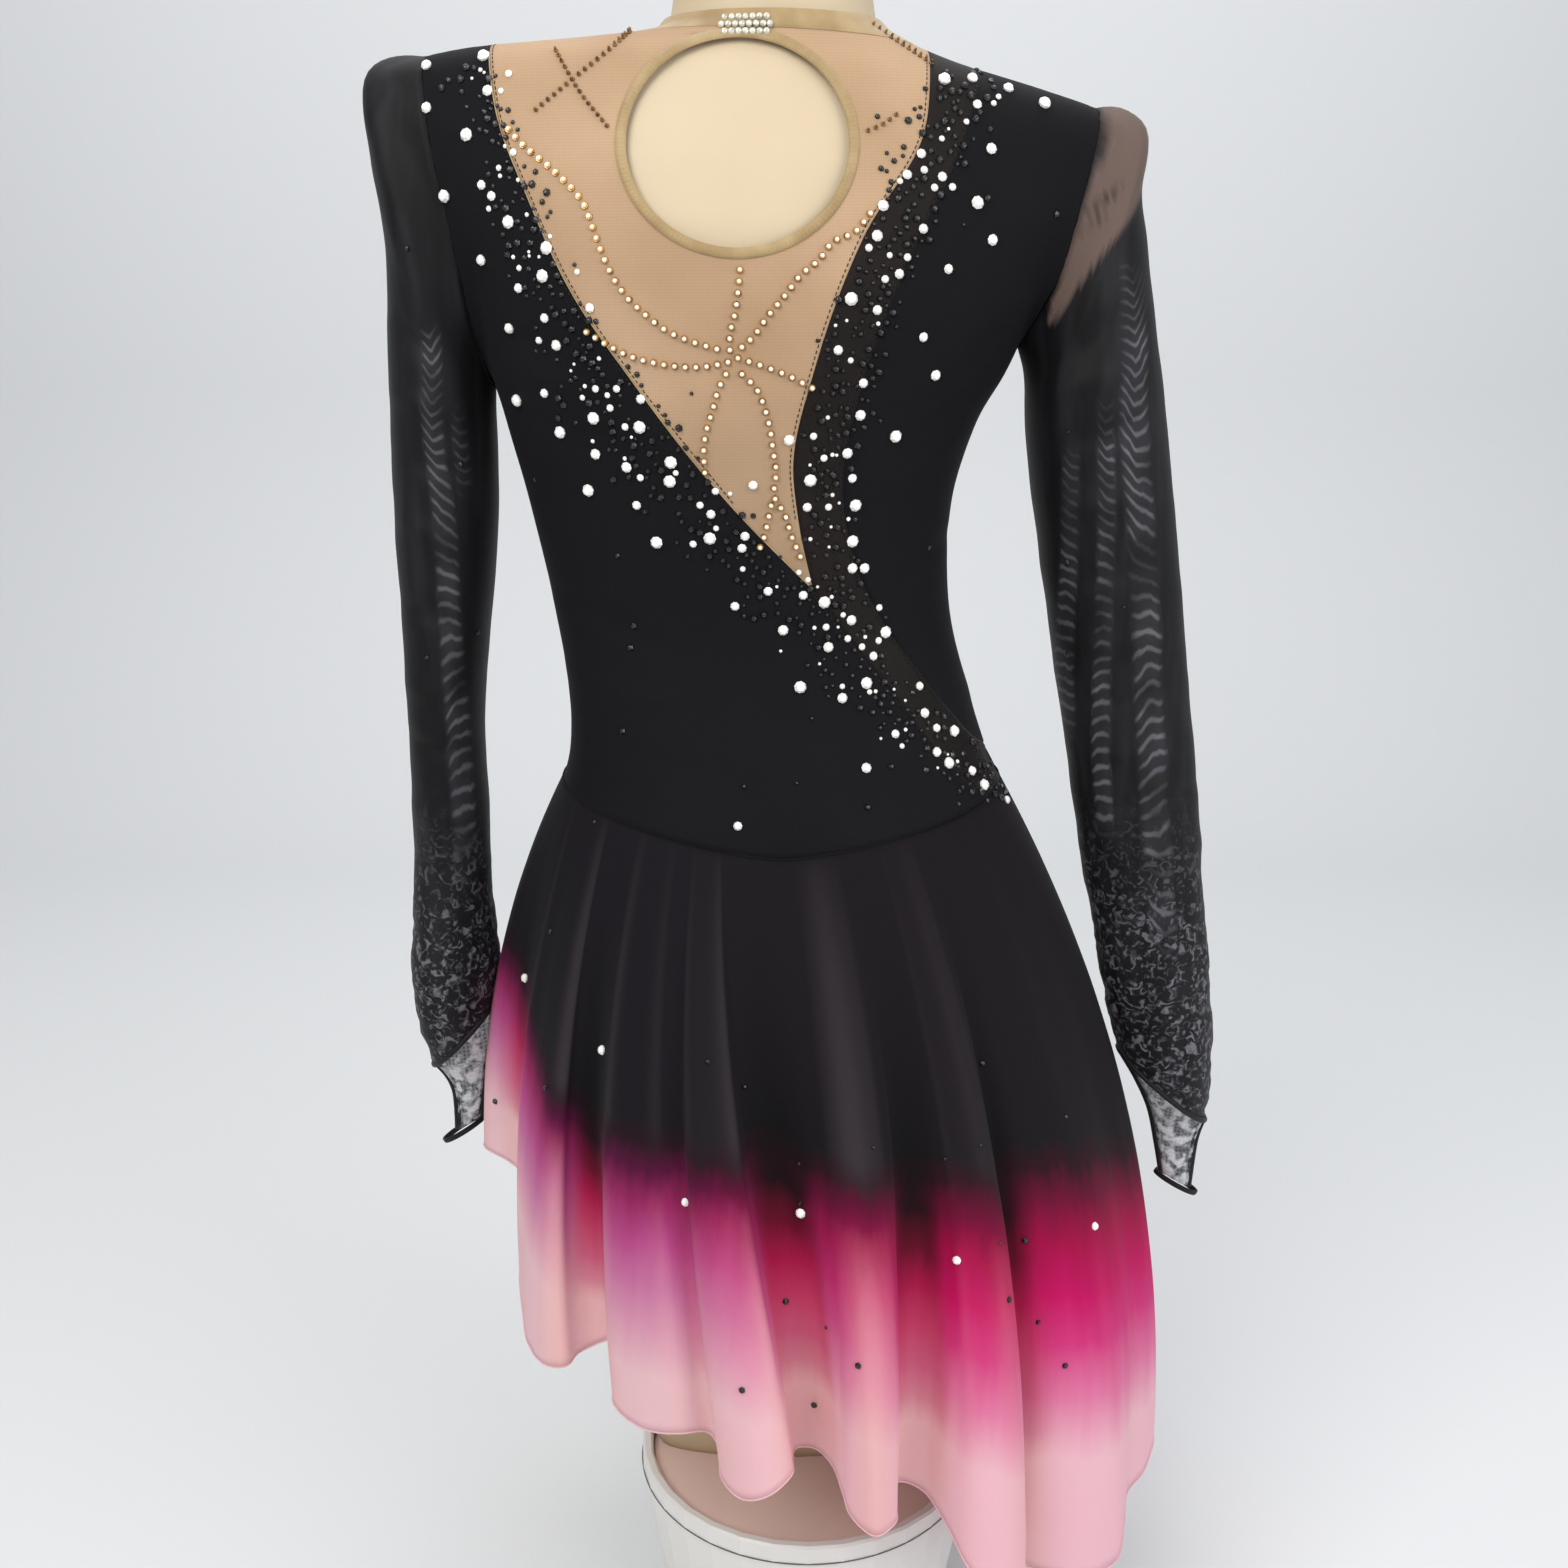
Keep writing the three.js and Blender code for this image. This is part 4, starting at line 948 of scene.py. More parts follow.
for piece, side in ((left_sleeve, "left"), (right_sleeve, "right")):
    co = places(piece)
    near_wrist = 1 - soft_step(*CRUSHED, co[:, 2])
    off_body = soft_step(0, 30, np.abs(co[:, 0] - BODY_MIDDLE) - BODY_HALF)
    crushed = rough(co, 15, (1.6, 1.6, 0.55)) + 0.5 * rough(co, 7, (1.5, 1.5, 0.6), 7.0)
    push(piece, creased(co, SLEEVE_CREASES) * off_body
         + 0.7 * rough(co, 34, (1.3, 1.3, 0.6), 3.0) * off_body
         + 1.3 * crushed * near_wrist)
    # Painted light: where the chevron bands lie on the back of each sleeve, and the phase of their
    # stripes.
    band, phase = np.zeros(len(co)), np.zeros(len(co))
    for line, half, bright in BANDS[side]:
        laid = evenly(line, 2.0)[::-1]
        middle = np.interp(co[:, 2], laid[:, 1], laid[:, 0])
        off = np.abs(co[:, 0] - middle) / half
        ends = (soft_step(laid[0, 1], laid[0, 1] + 30, co[:, 2])
                * (1 - soft_step(laid[-1, 1] - 12, laid[-1, 1] + 4, co[:, 2])))
        here = bright * ends * (1 - soft_step(0.7, 1.25, off)) * (co[:, 1] < 6)
        arms = CHEVRON * (0.25 + 0.75 * np.sin(co[:, 2] / 61 + 0.6)) * np.clip(off, 0, 1.3)
        lean = LEAN * np.sin(co[:, 2] / 43) * (co[:, 0] - middle) / half
        fall = laid[-1, 1] - co[:, 2] + half * (arms + lean)
        turns = np.log1p(np.clip(TALLER * fall, -0.5, None)) / (TALLER * STRIPE)
        phase = np.where(here > band, -2 * np.pi * turns, phase)
        band = np.maximum(band, here)
    paint(piece, "band", band)
    paint(piece, "phase", phase)
    # Painted glints near the wrist, fading upward.
    paint(piece, "crush", 0.95 * (1 - soft_step(*GLINTS, co[:, 2])))
    strip = np.zeros(len(co))
    if side == "right":
        line = evenly(STRIP, 1.0)
        off = np.hypot(co[:, 0:1] - line[:, 0], co[:, 2:3] - line[:, 1])
        wide = np.interp(line[:, 1], *STRIP_WIDTHS)
        strip = (1 - soft_step(0.82, 1.04, (off / wide).min(axis=1))) * (co[:, 1] < 0)
        strip *= 1 - np.clip(creased(co, STRIP_FOLDS), 0, 0.8)
    paint(piece, "strip", strip)


# ---------------------------------------------------------------- ropes, tapes and edges
def rope(line, radius, sides=8, closed=False, squash=1.0):
    """Points and faces of a tube along a line, its ends closed by a point."""
    line = np.asarray(line, float)
    ahead = np.roll(line, -1, axis=0) - np.roll(line, 1, axis=0)
    if not closed:
        ahead[0], ahead[-1] = line[1] - line[0], line[-1] - line[-2]
    ahead /= np.linalg.norm(ahead, axis=1)[:, None]
    side = np.cross(ahead, [0, 0, 1.0])
    short = np.linalg.norm(side, axis=1) < 1e-3
    side[short] = [1.0, 0, 0]
    side /= np.linalg.norm(side, axis=1)[:, None]
    up = np.cross(side, ahead)
    turn = np.linspace(0, 2 * np.pi, sides, endpoint=False)
    ring = (side[:, None] * np.cos(turn)[None, :, None] * squash
            + up[:, None] * np.sin(turn)[None, :, None]) * np.asarray(radius).reshape(-1, 1, 1)
    points = (line[:, None] + ring).reshape(-1, 3)
    count = len(line)
    faces = tube_faces(count, sides, closed=True)
    if closed:
        last = (count - 1) * sides
        faces += [(last + i, last + (i + 1) % sides, (i + 1) % sides, i) for i in range(sides)]
    else:
        faces += [tuple(range(sides)), tuple(range(len(points) - sides, len(points)))]
    return points, faces


def on_back(points, rise=0.0):
    """Points seen along Y, laid on the back of the dress and lifted off it."""
    points = np.asarray(points, float)
    return np.stack([points[:, 0], -dress_depth(points[:, 0], points[:, 1], False) - rise,
                     points[:, 1]], axis=1)


# ---------------------------------------------------------------- hands
POINT_EDGE, WRIST_EDGE = 2.1, 1.7      # radii of the bound edges


def tongue(name, table, stands_for):
    """The mesh tongue over a hand, from the sleeve's edge to the finger loop."""
    rows = through(table, np.linspace(0, len(table) - 1, 44))
    turn = np.linspace(0.04, np.pi - 0.04, 22)
    share = (1 - np.cos(turn)) / 2
    x = rows[:, 0:1] + (rows[:, 2:3] - rows[:, 0:1]) * share
    z = rows[:, 1:2] + (rows[:, 3:4] - rows[:, 1:2]) * share
    y = -rows[:, 4:5] * np.sin(turn)
    points = np.stack([x, y, z], axis=2)
    piece = make(f"{name}_point", points.reshape(-1, 3), tube_faces(*x.shape), HAND_MESH,
                 "power_mesh", [stands_for], outward=(rows[:, 0].mean(), 30, rows[:, 1].mean()))
    edges = [rope(points[:, 0], POINT_EDGE), rope(points[:, -1], POINT_EDGE)]
    return piece, edges


def loop_band(place):
    """The finger loop: a flat band round an oval, tilted with the tongue's end."""
    turn = np.linspace(0, 2 * np.pi, 72, endpoint=False)
    tilt = math.radians(-place["tilt"])
    rounds = np.linspace(0, 2 * np.pi, 14, endpoint=False)
    rows = []
    for r in rounds:
        high = LOOP["band"] / 2 * np.sign(np.sin(r)) * abs(np.sin(r)) ** 0.6
        out = LOOP["thickness"] / 2 * (np.sign(np.cos(r)) * abs(np.cos(r)) ** 0.6 - 1)
        x = (LOOP["half_width"] + out) * np.cos(turn)
        y = (LOOP["half_depth"] + out) * np.sin(turn)
        z = np.full(len(turn), high)
        rows.append(np.stack([place["x"] + x * math.cos(tilt) + z * math.sin(tilt), LOOP["y"] + y,
                              place["z"] - x * math.sin(tilt) + z * math.cos(tilt)], axis=1))
    points = np.concatenate(rows)
    faces = tube_faces(len(rounds), len(turn), closed=True)
    last = (len(rounds) - 1) * len(turn)
    n = len(turn)
    faces += [(last + i, last + (i + 1) % n, (i + 1) % n, i) for i in range(n)]
    return points, faces


def wrist_edge(fine):
    """The slanted end of a sleeve, all the way round."""
    ax, az, bx, bz, back, front_reach = fine[-1, :6]
    turn = np.linspace(0, 2 * np.pi, 120, endpoint=False)
    reach = np.where(np.sin(turn) < 0, front_reach, back)
    return np.stack([(ax + bx) / 2 + (bx - ax) / 2 * np.cos(turn), -reach * np.sin(turn),
                     (az + bz) / 2 + (bz - az) / 2 * np.cos(turn)], axis=1)


def bound_edge():
    """Black nylon elastic turned over an edge: ribbed and matt."""
    made, tree, place = start("black_bound_edge")
    tape = node(tree, "BsdfPrincipled", {
        "Base Color": linear("0c0b0d"), "Roughness": 0.6, "IOR": 1.53, "Sheen Weight": 0.06,
        "Specular IOR Level": 0.25, "Normal": knit(tree, place, 1.2, 0.5)[1]})
    end(tree, tape.outputs[0])
    return made


EDGING = bound_edge()
left_point, left_edges = tongue("left", LEFT_HAND_POINT, "left_hand_point")
right_point, right_edges = tongue("right", RIGHT_HAND_POINT, "right_hand_point")
left_bind, right_bind = (
    make(f"{name}_wrist_edge", *joined(edges + [rope(wrist_edge(sleeve_fine[name]), WRIST_EDGE,
                                                     closed=True)]), EDGING, "power_mesh")
    for name, edges in (("left", left_edges), ("right", right_edges)))
left_loop = make("left_loop", *loop_band(LEFT_LOOP), EDGING, "black_cloth", ["left_finger_loop"])
right_loop = make("right_loop", *loop_band(RIGHT_LOOP), EDGING, "black_cloth",
                  ["right_finger_loop"])


# ---------------------------------------------------------------- skirt
def waist_ring(bearings, dip):
    """X, Y and Z of the waist seam at each bearing, on the torso's own surface."""
    c, s = np.cos(bearings), np.sin(bearings)
    z = WAIST_SIDE - dip * (1 - np.abs(c) ** WAIST_POWER)
    rows = np.array(TORSO[:3], float)
    left, right, back, forward, power = (np.interp(z, rows[:, 1], rows[:, k])
                                         for k in (0, 2, 4, 5, 6))
    deep = np.where(s < 0, back, forward)
    reach = ((np.abs(c) / ((right - left) / 2)) ** power
             + (np.abs(s) / deep) ** power) ** (-1 / power)
    x = (left + right) / 2 + reach * c
    return x, reach * s, waist_height(x, dip)


def blurred(values, sigma):
    """Values along a row, smoothed, with both ends kept."""
    pad = int(3 * sigma)
    kernel = np.exp(-(np.arange(-pad, pad + 1) / sigma) ** 2 / 2)
    before = 2 * values[0] - values[pad:0:-1]
    after = 2 * values[-1] - values[-2:-pad - 2:-1]
    return np.convolve(np.concatenate([before, values, after]), kernel / kernel.sum(), "valid")


def skirt_half(table, dip, rows=64, spacing=3.1):
    """One half of the skirt: from the waist seam to a hem that turns back under itself."""
    bearing, reach, height = np.array(table, float).T
    turn = np.radians(bearing)
    hem = np.stack([reach * np.cos(turn), reach * np.sin(turn), height], axis=1)
    hem = evenly(hem, spacing, 0.5)
    round_axis = np.degrees(np.unwrap(np.arctan2(hem[:, 1], hem[:, 0])))
    round_axis += 360 * round((bearing[0] - round_axis[0]) / 360)
    steady = np.minimum.accumulate(blurred(round_axis, TURN_BLUR / spacing))
    steady = blurred(steady, SECOND_BLUR / spacing)
    swirl = np.interp(steady, [b for b, _ in SWIRL], [d for _, d in SWIRL])
    mean = blurred(np.hypot(hem[:, 0], hem[:, 1]), REACH_BLUR / spacing)
    down = (np.linspace(0, 1, rows) ** 1.05)[:, None]
    ahead = np.radians(steady + swirl * (1 - down) ** SWIRL_POWER)
    stand = hem[:, :2] - mean[:, None] * np.stack([np.cos(ahead[-1]), np.sin(ahead[-1])], axis=1)
    waist_x, waist_y, waist_z = waist_ring(ahead, dip)
    swing = 1 - (1 - down) ** FLARE_POWER
    base_x = waist_x * (1 - swing) + mean * np.cos(ahead) * swing
    base_y = waist_y * (1 - swing) + mean * np.sin(ahead) * swing
    turned = ahead - ahead[-1]
    flute = down ** FLUTE_POWER
    x = base_x + (stand[:, 0] * np.cos(turned) - stand[:, 1] * np.sin(turned)) * flute
    y = base_y + (stand[:, 0] * np.sin(turned) + stand[:, 1] * np.cos(turned)) * flute
    z = waist_z[0] * (1 - down) + hem[:, 2] * down
    # How far into a fold each point lies, for the painted shade of the folds.
    deep = soft_step(*DEEP_FOLD, np.hypot(base_x, base_y) - np.hypot(x, y))
    points = np.stack([x, y, z], axis=2).reshape(-1, 3)
    line = np.interp(steady, [r[0] for r in DYE_LINE], [r[1] for r in DYE_LINE])
    pales = np.interp(steady, [r[0] for r in DYE_LINE], [r[2] for r in DYE_LINE])
    dye = ((line - z) / pales).reshape(-1)
    redder = np.maximum(soft_step(-118, -62, steady), 1 - soft_step(-360, -290, steady))
    crimson = np.broadcast_to(redder, x.shape).reshape(-1)
    ahead = np.gradient(hem[:, :2], axis=0)
    bend = np.gradient(np.unwrap(np.arctan2(ahead[:, 1], ahead[:, 0])))
    # Where the hem turns outward, for the painted highlight on the flutes' crests.
    turned_out = soft_step(0.04, 0.3, -blurred(bend, BEND_BLUR / spacing))
    rim = (turned_out * down ** 0.5).reshape(-1)
    return points, tube_faces(rows, len(hem)), dye, crimson, deep.reshape(-1), rim, x.shape


def skirt_piece(name, table, dip, stands_for):
    """A half of the skirt with its rolled hem, its dye, its painted fold shade and its painted
    crest highlight kept for the material.
    """
    points, faces, dye, crimson, deep, rim, shape = skirt_half(table, dip)
    mesh = bpy.data.meshes.new(name)
    mesh.from_pydata([tuple(p) for p in points * MM], [], faces)
    piece = bpy.data.objects.new(name, mesh)
    bpy.context.scene.collection.objects.link(piece)
    middle = shape[0] // 2 * shape[1] + shape[1] // 2
    face = mesh.polygons[min(middle, len(mesh.polygons) - 1)]
    if face.center.x * face.normal.x + face.center.y * face.normal.y < 0:
        mesh.flip_normals()
    for polygon in mesh.polygons:
        polygon.use_smooth = True
    mesh.materials.append(CHIFFON)
    paint(piece, "dye", dye)
    paint(piece, "side", crimson)
    paint(piece, "fold", deep)
    paint(piece, "rim", rim)
    down = np.repeat(np.linspace(0, 1, shape[0]), shape[1])
    ripple = rough(points, 21, (1, 1, 5.0)) * 0.9 + rough(points, 9, (1, 1, 7.0), 5.0) * 0.35
    push(piece, ripple * down ** 1.2)
    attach(piece, "root")
    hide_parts(stands_for)
    edge_line = places(piece)[-shape[1]:]
    edge_points, edge_faces = rope(edge_line, HEM_EDGE, 6)
    edge = make(name + "_rolled_hem", edge_points, edge_faces, CHIFFON, "chiffon")
    nearest = np.concatenate([np.linalg.norm(part[:, None] - edge_line, axis=2).argmin(axis=1)
                              for part in np.array_split(places(edge), 8)])
    # The rolled hem is painted paler, lifting the shade on its underside, and gets no painted fold
    # shade.
    for mark, values in (("dye", dye + HEM_PALER), ("side", crimson), ("fold", 0 * deep),
                         ("rim", rim)):
        paint(edge, mark, values[-shape[1]:][nearest])
    return piece, edge


skirt_back = skirt_piece("skirt_panel_back", HEM_BACK, WAIST_DIP_BACK, "skirt_back")
skirt_front = skirt_piece("skirt_panel_front", HEM_FRONT, WAIST_DIP_FRONT, "skirt_front")


# ---------------------------------------------------------------- tapes, seams and clasp
AROUND, ACROSS = 640, 10   # points round a tape and across it


def keyhole_tape():
    """Elastic turned over the keyhole's edge, its fine ribs running across."""
    turn = np.linspace(0, 2 * np.pi, AROUND, endpoint=False)
    rows = []
    for share in np.linspace(0, 1, ACROSS):
        grow = KEYHOLE["tape"] * share
        rise = 0.3 + 1.3 * math.sin(math.pi * share) ** 0.55
        rise = rise + 0.14 * np.cos(turn * 160) * math.sin(math.pi * share)
        flat = np.stack([KEYHOLE["x"] + (KEYHOLE["half_width"] + grow) * np.cos(turn),
                         KEYHOLE["z"] + (KEYHOLE["half_height"] + grow) * np.sin(turn)], axis=1)
        rows.append(on_back(flat, rise))
    return np.concatenate(rows), tube_faces(ACROSS, AROUND, closed=True)


COLLAR_ROWS = (14.72, 16.0)    # the torso's sections that the collar runs between


def collar_tape():
    """The same elastic round the neck, along the torso's own sections."""
    turn = np.linspace(0, 2 * np.pi, AROUND, endpoint=False)
    rows = []
    sections = through(TORSO, np.linspace(*COLLAR_ROWS, ACROSS))
    for share, row in zip(np.linspace(0, 1, ACROSS), sections):
        left, left_z, right, right_z, back, forward, power = row
        rise = 0.3 + 1.2 * math.sin(math.pi * share) ** 0.55
        rise = rise + 0.12 * np.cos(turn * 140) * math.sin(math.pi * share)
        deep = np.where(np.sin(turn) > 0, back, forward)
        deep = deep * np.clip(1 - np.abs(np.cos(turn)) ** power, 0, 1) ** (1 / power)
        x = (left + right) / 2 + ((right - left) / 2 + rise) * np.cos(turn)
        y = -np.sign(np.sin(turn)) * (deep + rise * np.abs(np.sin(turn)))
        z = (left_z + right_z) / 2 + (right_z - left_z) / 2 * np.cos(turn)
        rows.append(np.stack([x, y, z], axis=1))
    return np.concatenate(rows), tube_faces(ACROSS, AROUND, closed=True)


def cut(centre, facing, radius, rings, sides=8, spin=0.0):
    """A small turned solid on a surface: a cut stone or a bead, from its rings of
    (share of the radius, height in millimetres)."""
    facing = Vector(facing).normalized()
    side = facing.cross(Vector((0, 0, 1)))
    side = side.normalized() if side.length > 0.1 else Vector((1, 0, 0))
    up = side.cross(facing)
    points = []
    for share, high in rings:
        for i in range(sides):
            turn = spin + 2 * math.pi * i / sides
            points.append(tuple(Vector(centre) + (side * math.cos(turn) + up * math.sin(turn))
                                * radius * share + facing * high))
    faces = tube_faces(len(rings), sides, closed=True)
    return points, faces + [tuple(range(sides)),
                            tuple(range(len(points) - sides, len(points)))]


def trimming(name, parts, finish, stands_for=(), facets=True):
    """Many stones or beads as one piece."""
    piece = make(name, *joined(parts), finish, "crystal", stands_for)
    if facets:
        for polygon in piece.data.polygons:
            polygon.use_smooth = False
    return piece


def cut_stone(radius):
    """Rings of a stone with a bevelled crown and a flat top."""
    return [(0.9, -0.3), (1.0, 0.35 * radius), (0.62, 0.85 * radius), (0.3, 0.95 * radius)]


def round_bead(radius):
    """Rings of a ball."""
    return [(math.sin(a), radius * (1 - math.cos(a))) for a in np.linspace(0.3, np.pi - 0.3, 5)]


keyhole_binding = make("keyhole_tape", *keyhole_tape(), ELASTIC, "binding", ["keyhole_binding"],
                       outward=(KEYHOLE["x"], 60, KEYHOLE["z"]))
collar_binding = make("collar_tape", *collar_tape(), ELASTIC, "binding", ["collar_binding"],
                      outward=(-22, 0, 990))
CRYSTAL_GAP = 3.5          # between the crystals of the clasp, in a row
clasp_parts = []
for row, high in enumerate((-3.6, 0.0, 3.6)):
    for column in range(-4, 5):
        x = column * CRYSTAL_GAP + (CRYSTAL_GAP / 2 if row % 2 else 0)
        if (x / CLASP["half_width"]) ** 2 + (high / CLASP["half_height"]) ** 2 < 0.95:
            place = on_back([[CLASP["x"] + x, CLASP["z"] + high]], 1.6)[0]
            clasp_parts.append(cut(place, (0, -1, 0.1), CRYSTAL_GAP / 2, cut_stone(1.6),
                                   spin=0.4 * column))
clasp = trimming("neck_clasp_stones", clasp_parts, CLEAR, ["neck_clasp"])

PIPING, THREAD = 0.7, 0.4  # radii of the waist seam's piping and of the neckline's thread
waist_turn = np.radians(np.linspace(0, -360, 361))[:-1]
waist_line = np.concatenate([
    np.stack(waist_ring(waist_turn[:181], WAIST_DIP_BACK), axis=1),
    np.stack(waist_ring(waist_turn[181:], WAIST_DIP_FRONT), axis=1)])
waist_seam = make("waist_seam", *rope(waist_line, PIPING, 6, True), JERSEY, "black_cloth")


def stitches(line, gap=3.0, length=1.7, radius=0.28):
    """Short thread stitches along a line."""
    fine = evenly(line, 0.5)
    run = lengths(fine)
    parts = []
    for begin in np.arange(0.5, run[-1] - length, gap):
        ends = [np.interp(begin + d, run, fine[:, k]) for d in (0, length) for k in range(3)]
        parts.append(rope([ends[:3], ends[3:]], radius, 5))
    return parts


def beside(line, away):
    """A seam line seen along Y, moved sideways."""
    line = np.asarray(line, float)
    ahead = np.gradient(line, axis=0)
    ahead /= np.linalg.norm(ahead, axis=1)[:, None]
    return line + np.stack([ahead[:, 1], -ahead[:, 0]], axis=1) * away


seam_lines = [(V_LEFT[:-1], 1.6), (V_LEFT[:-1], -1.6), (V_RIGHT[:-1], 1.6), (BAND_EDGE[:-1], 1.6),
              (DIAGONAL[:-1], 1.6)]
stitch_parts = []
for line, away in seam_lines:
    laid = on_back(beside(evenly(line, 4.0), away), 0.15)
    stitch_parts += stitches(laid[laid[:, 1] < -3])
edge_thread = make("neckline_thread", *rope(on_back(evenly(V_LEFT, 2.0), THREAD)[4:], THREAD, 6),
                   ELASTIC, "binding")
seam_stitches = make("seam_stitches", *joined(stitch_parts), EDGING, "black_cloth")

# ---------------------------------------------------------------- stones and bead strings
EYE = Vector((-14.8, -966.0, 855.0))       # where the camera stands, in millimetres
LOOK_DOWN = math.radians(16.2)
FOCAL, FRAME_SIZE = 1681, 1568             # focal length and frame, in frame units
cloth_behind = [back_yoke, back_left, back_band, back_right, left_sleeve, right_sleeve,
                keyhole_binding, skirt_back[0], skirt_front[0]]
net = joined([(places(piece), [tuple(p.vertices) for p in piece.data.polygons])
              for piece in cloth_behind])
surface = BVHTree.FromPolygons([Vector(p) for p in net[0]], net[1])


def seen_at(across, down):
    """Where the cloth is met at a place in the frame, and which way it faces there."""
    right = (across - FRAME_SIZE / 2) / FOCAL
    up = (FRAME_SIZE / 2 - down) / FOCAL
    ray = Vector((right, math.cos(LOOK_DOWN) + up * math.sin(LOOK_DOWN),
                  up * math.cos(LOOK_DOWN) - math.sin(LOOK_DOWN)))
    place, facing, _, _ = surface.ray_cast(EYE, ray.normalized())
    if place is None:
        return None, None
    return place, facing if facing.dot(ray) < 0 else -facing


# Places of the large stones in the frame, across and down.
STONES = [
    (427, 66), (484, 57), (488, 91), (427, 108), (467, 135), (445, 196), (482, 185), (492, 196),
    (509, 222), (482, 260), (547, 248), (543, 276), (545, 318), (519, 288), (510, 328), (557, 345),
    (590, 308), (545, 393), (518, 400), (561, 432), (594, 418), (641, 399), (640, 427), (596, 454),
    (627, 467), (671, 462), (670, 481), (704, 474), (589, 490), (637, 505), (657, 542), (711, 514),
    (710, 538), (753, 485), (745, 536), (742, 548), (768, 591), (803, 595), (824, 602), (735, 606),
    (783, 630), (828, 647), (851, 620), (885, 632), (873, 656), (866, 683), (919, 686), (800, 687),
    (842, 698), (924, 713), (936, 728), (953, 731), (895, 734), (936, 752), (948, 763), (866, 768),
    (971, 771), (983, 785), (1006, 800), (944, 80), (972, 79), (1008, 89), (977, 105), (1044, 104),
    (991, 149), (921, 154), (942, 177), (977, 203), (907, 175), (883, 206), (923, 229), (877, 236),
    (992, 240), (899, 274), (948, 269), (851, 299), (877, 310), (923, 337), (838, 350), (863, 383),
    (860, 415), (935, 375), (895, 436), (847, 453), (789, 440), (852, 478), (810, 480), (855, 505),
    (807, 507), (852, 541), (852, 568), (864, 568), (738, 826), (526, 978), (603, 1050),
    (686, 1202), (801, 1213), (957, 1260), (1094, 1226),
]
# Lines of the bead strings in the frame: four of seed beads, then those of pearls in gold cups.
STRINGS = [
    [(655, 11), (612, 48), (572, 80), (536, 110)],
    [(556, 51), (580, 92), (607, 126)],
    [(867, 23), (900, 44), (931, 64)],
    [(896, 115), (882, 125), (868, 131)],
    [(509, 130), (521, 143), (556, 173), (582, 201), (596, 236), (605, 260), (627, 297), (646, 315),
     (669, 332), (693, 342), (717, 349)],
    [(740, 270), (738, 293), (735, 314), (730, 334), (730, 350)],
    [(870, 214), (854, 233), (833, 242), (819, 260), (801, 275), (784, 297), (768, 316), (753, 337),
     (742, 347)],
    [(587, 332), (610, 346), (633, 357), (656, 363), (684, 367), (710, 366), (728, 362)],
    [(738, 358), (763, 366), (789, 376), (812, 388)],
    [(726, 374), (719, 388), (713, 409), (707, 429), (704, 449), (705, 472)],
    [(742, 374), (756, 388), (765, 409), (770, 429), (773, 450), (776, 472), (774, 495), (785, 515),
     (790, 532), (800, 556)],
    [(771, 505), (768, 519), (765, 533), (760, 547)],
]
# Bands of small stones beside the neckline: the line each follows, and its half width.
SCATTER = [
    [(470, 62, 42), (500, 130, 32), (515, 190, 36), (540, 270, 36), (575, 350, 42), (625, 425, 46),
     (690, 500, 46), (745, 560, 42), (800, 620, 40), (860, 675, 40), (925, 735, 34), (985, 782, 20),
     (1006, 802, 6)],
    [(985, 72, 42), (950, 120, 42), (915, 190, 44), (885, 270, 40), (855, 350, 38), (838, 430, 34),
     (832, 510, 32), (838, 590, 34), (870, 650, 30)],
]
dice = random.Random(11)


def scattered(count, spread, sizes):
    """Places in the frame and sizes of stones, thickest along the middle of the bands."""
    lines = [evenly(line, 4.0) for line in SCATTER]
    share = len(lines[0]) / (len(lines[0]) + len(lines[1]))
    found = []
    for _ in range(count):
        line = lines[0] if dice.random() < share else lines[1]
        at = dice.randrange(1, len(line) - 1)
        ahead = line[at + 1, :2] - line[at - 1, :2]
        ahead = ahead / np.hypot(*ahead)
        off = dice.triangular(-1, 1, 0) * spread * line[at, 2]
        found.append((line[at, 0] - ahead[1] * off, line[at, 1] + ahead[0] * off,
                      dice.choice(sizes)))
    return found


taken = []                 # the place and radius of each stone or bead already set
STONE_GAP = 0.2            # least gap between two stones


def set_stones(wanted, sides=8):
    """Stones at places in the frame, left out where they would touch one already set."""
    parts = []
    for across, down, size in wanted:
        place, facing = seen_at(across, down)
        if place is None or any((place - other).length < size + reach + STONE_GAP
                                for other, reach in taken):
            continue
        taken.append((place, size))
        parts.append(cut(place, facing, size, cut_stone(size), sides, spin=dice.random()))
    return parts


def set_beads(strings, gap, radius):
    """Beads in their cups, strung a gap apart along lines seen in the frame."""
    cups, drops = [], []
    for string in strings:
        laid = []
        for across, down in evenly(string, 3.0):
            place, facing = seen_at(across, down)
            if place is not None:
                laid.append((*place, *facing))
        for *place, fx, fy, fz in evenly(laid, gap):
            place, facing = Vector(place), Vector((fx, fy, fz)).normalized()
            taken.append((place, radius))
            cups.append(cut(place, facing, radius, [(0.8, -0.2), (1.0, 0.5), (0.86, 1.0)], 8))
            drops.append(cut(place + facing * 0.5, facing, radius * 0.66, round_bead(1.2), 7))
    return cups, drops


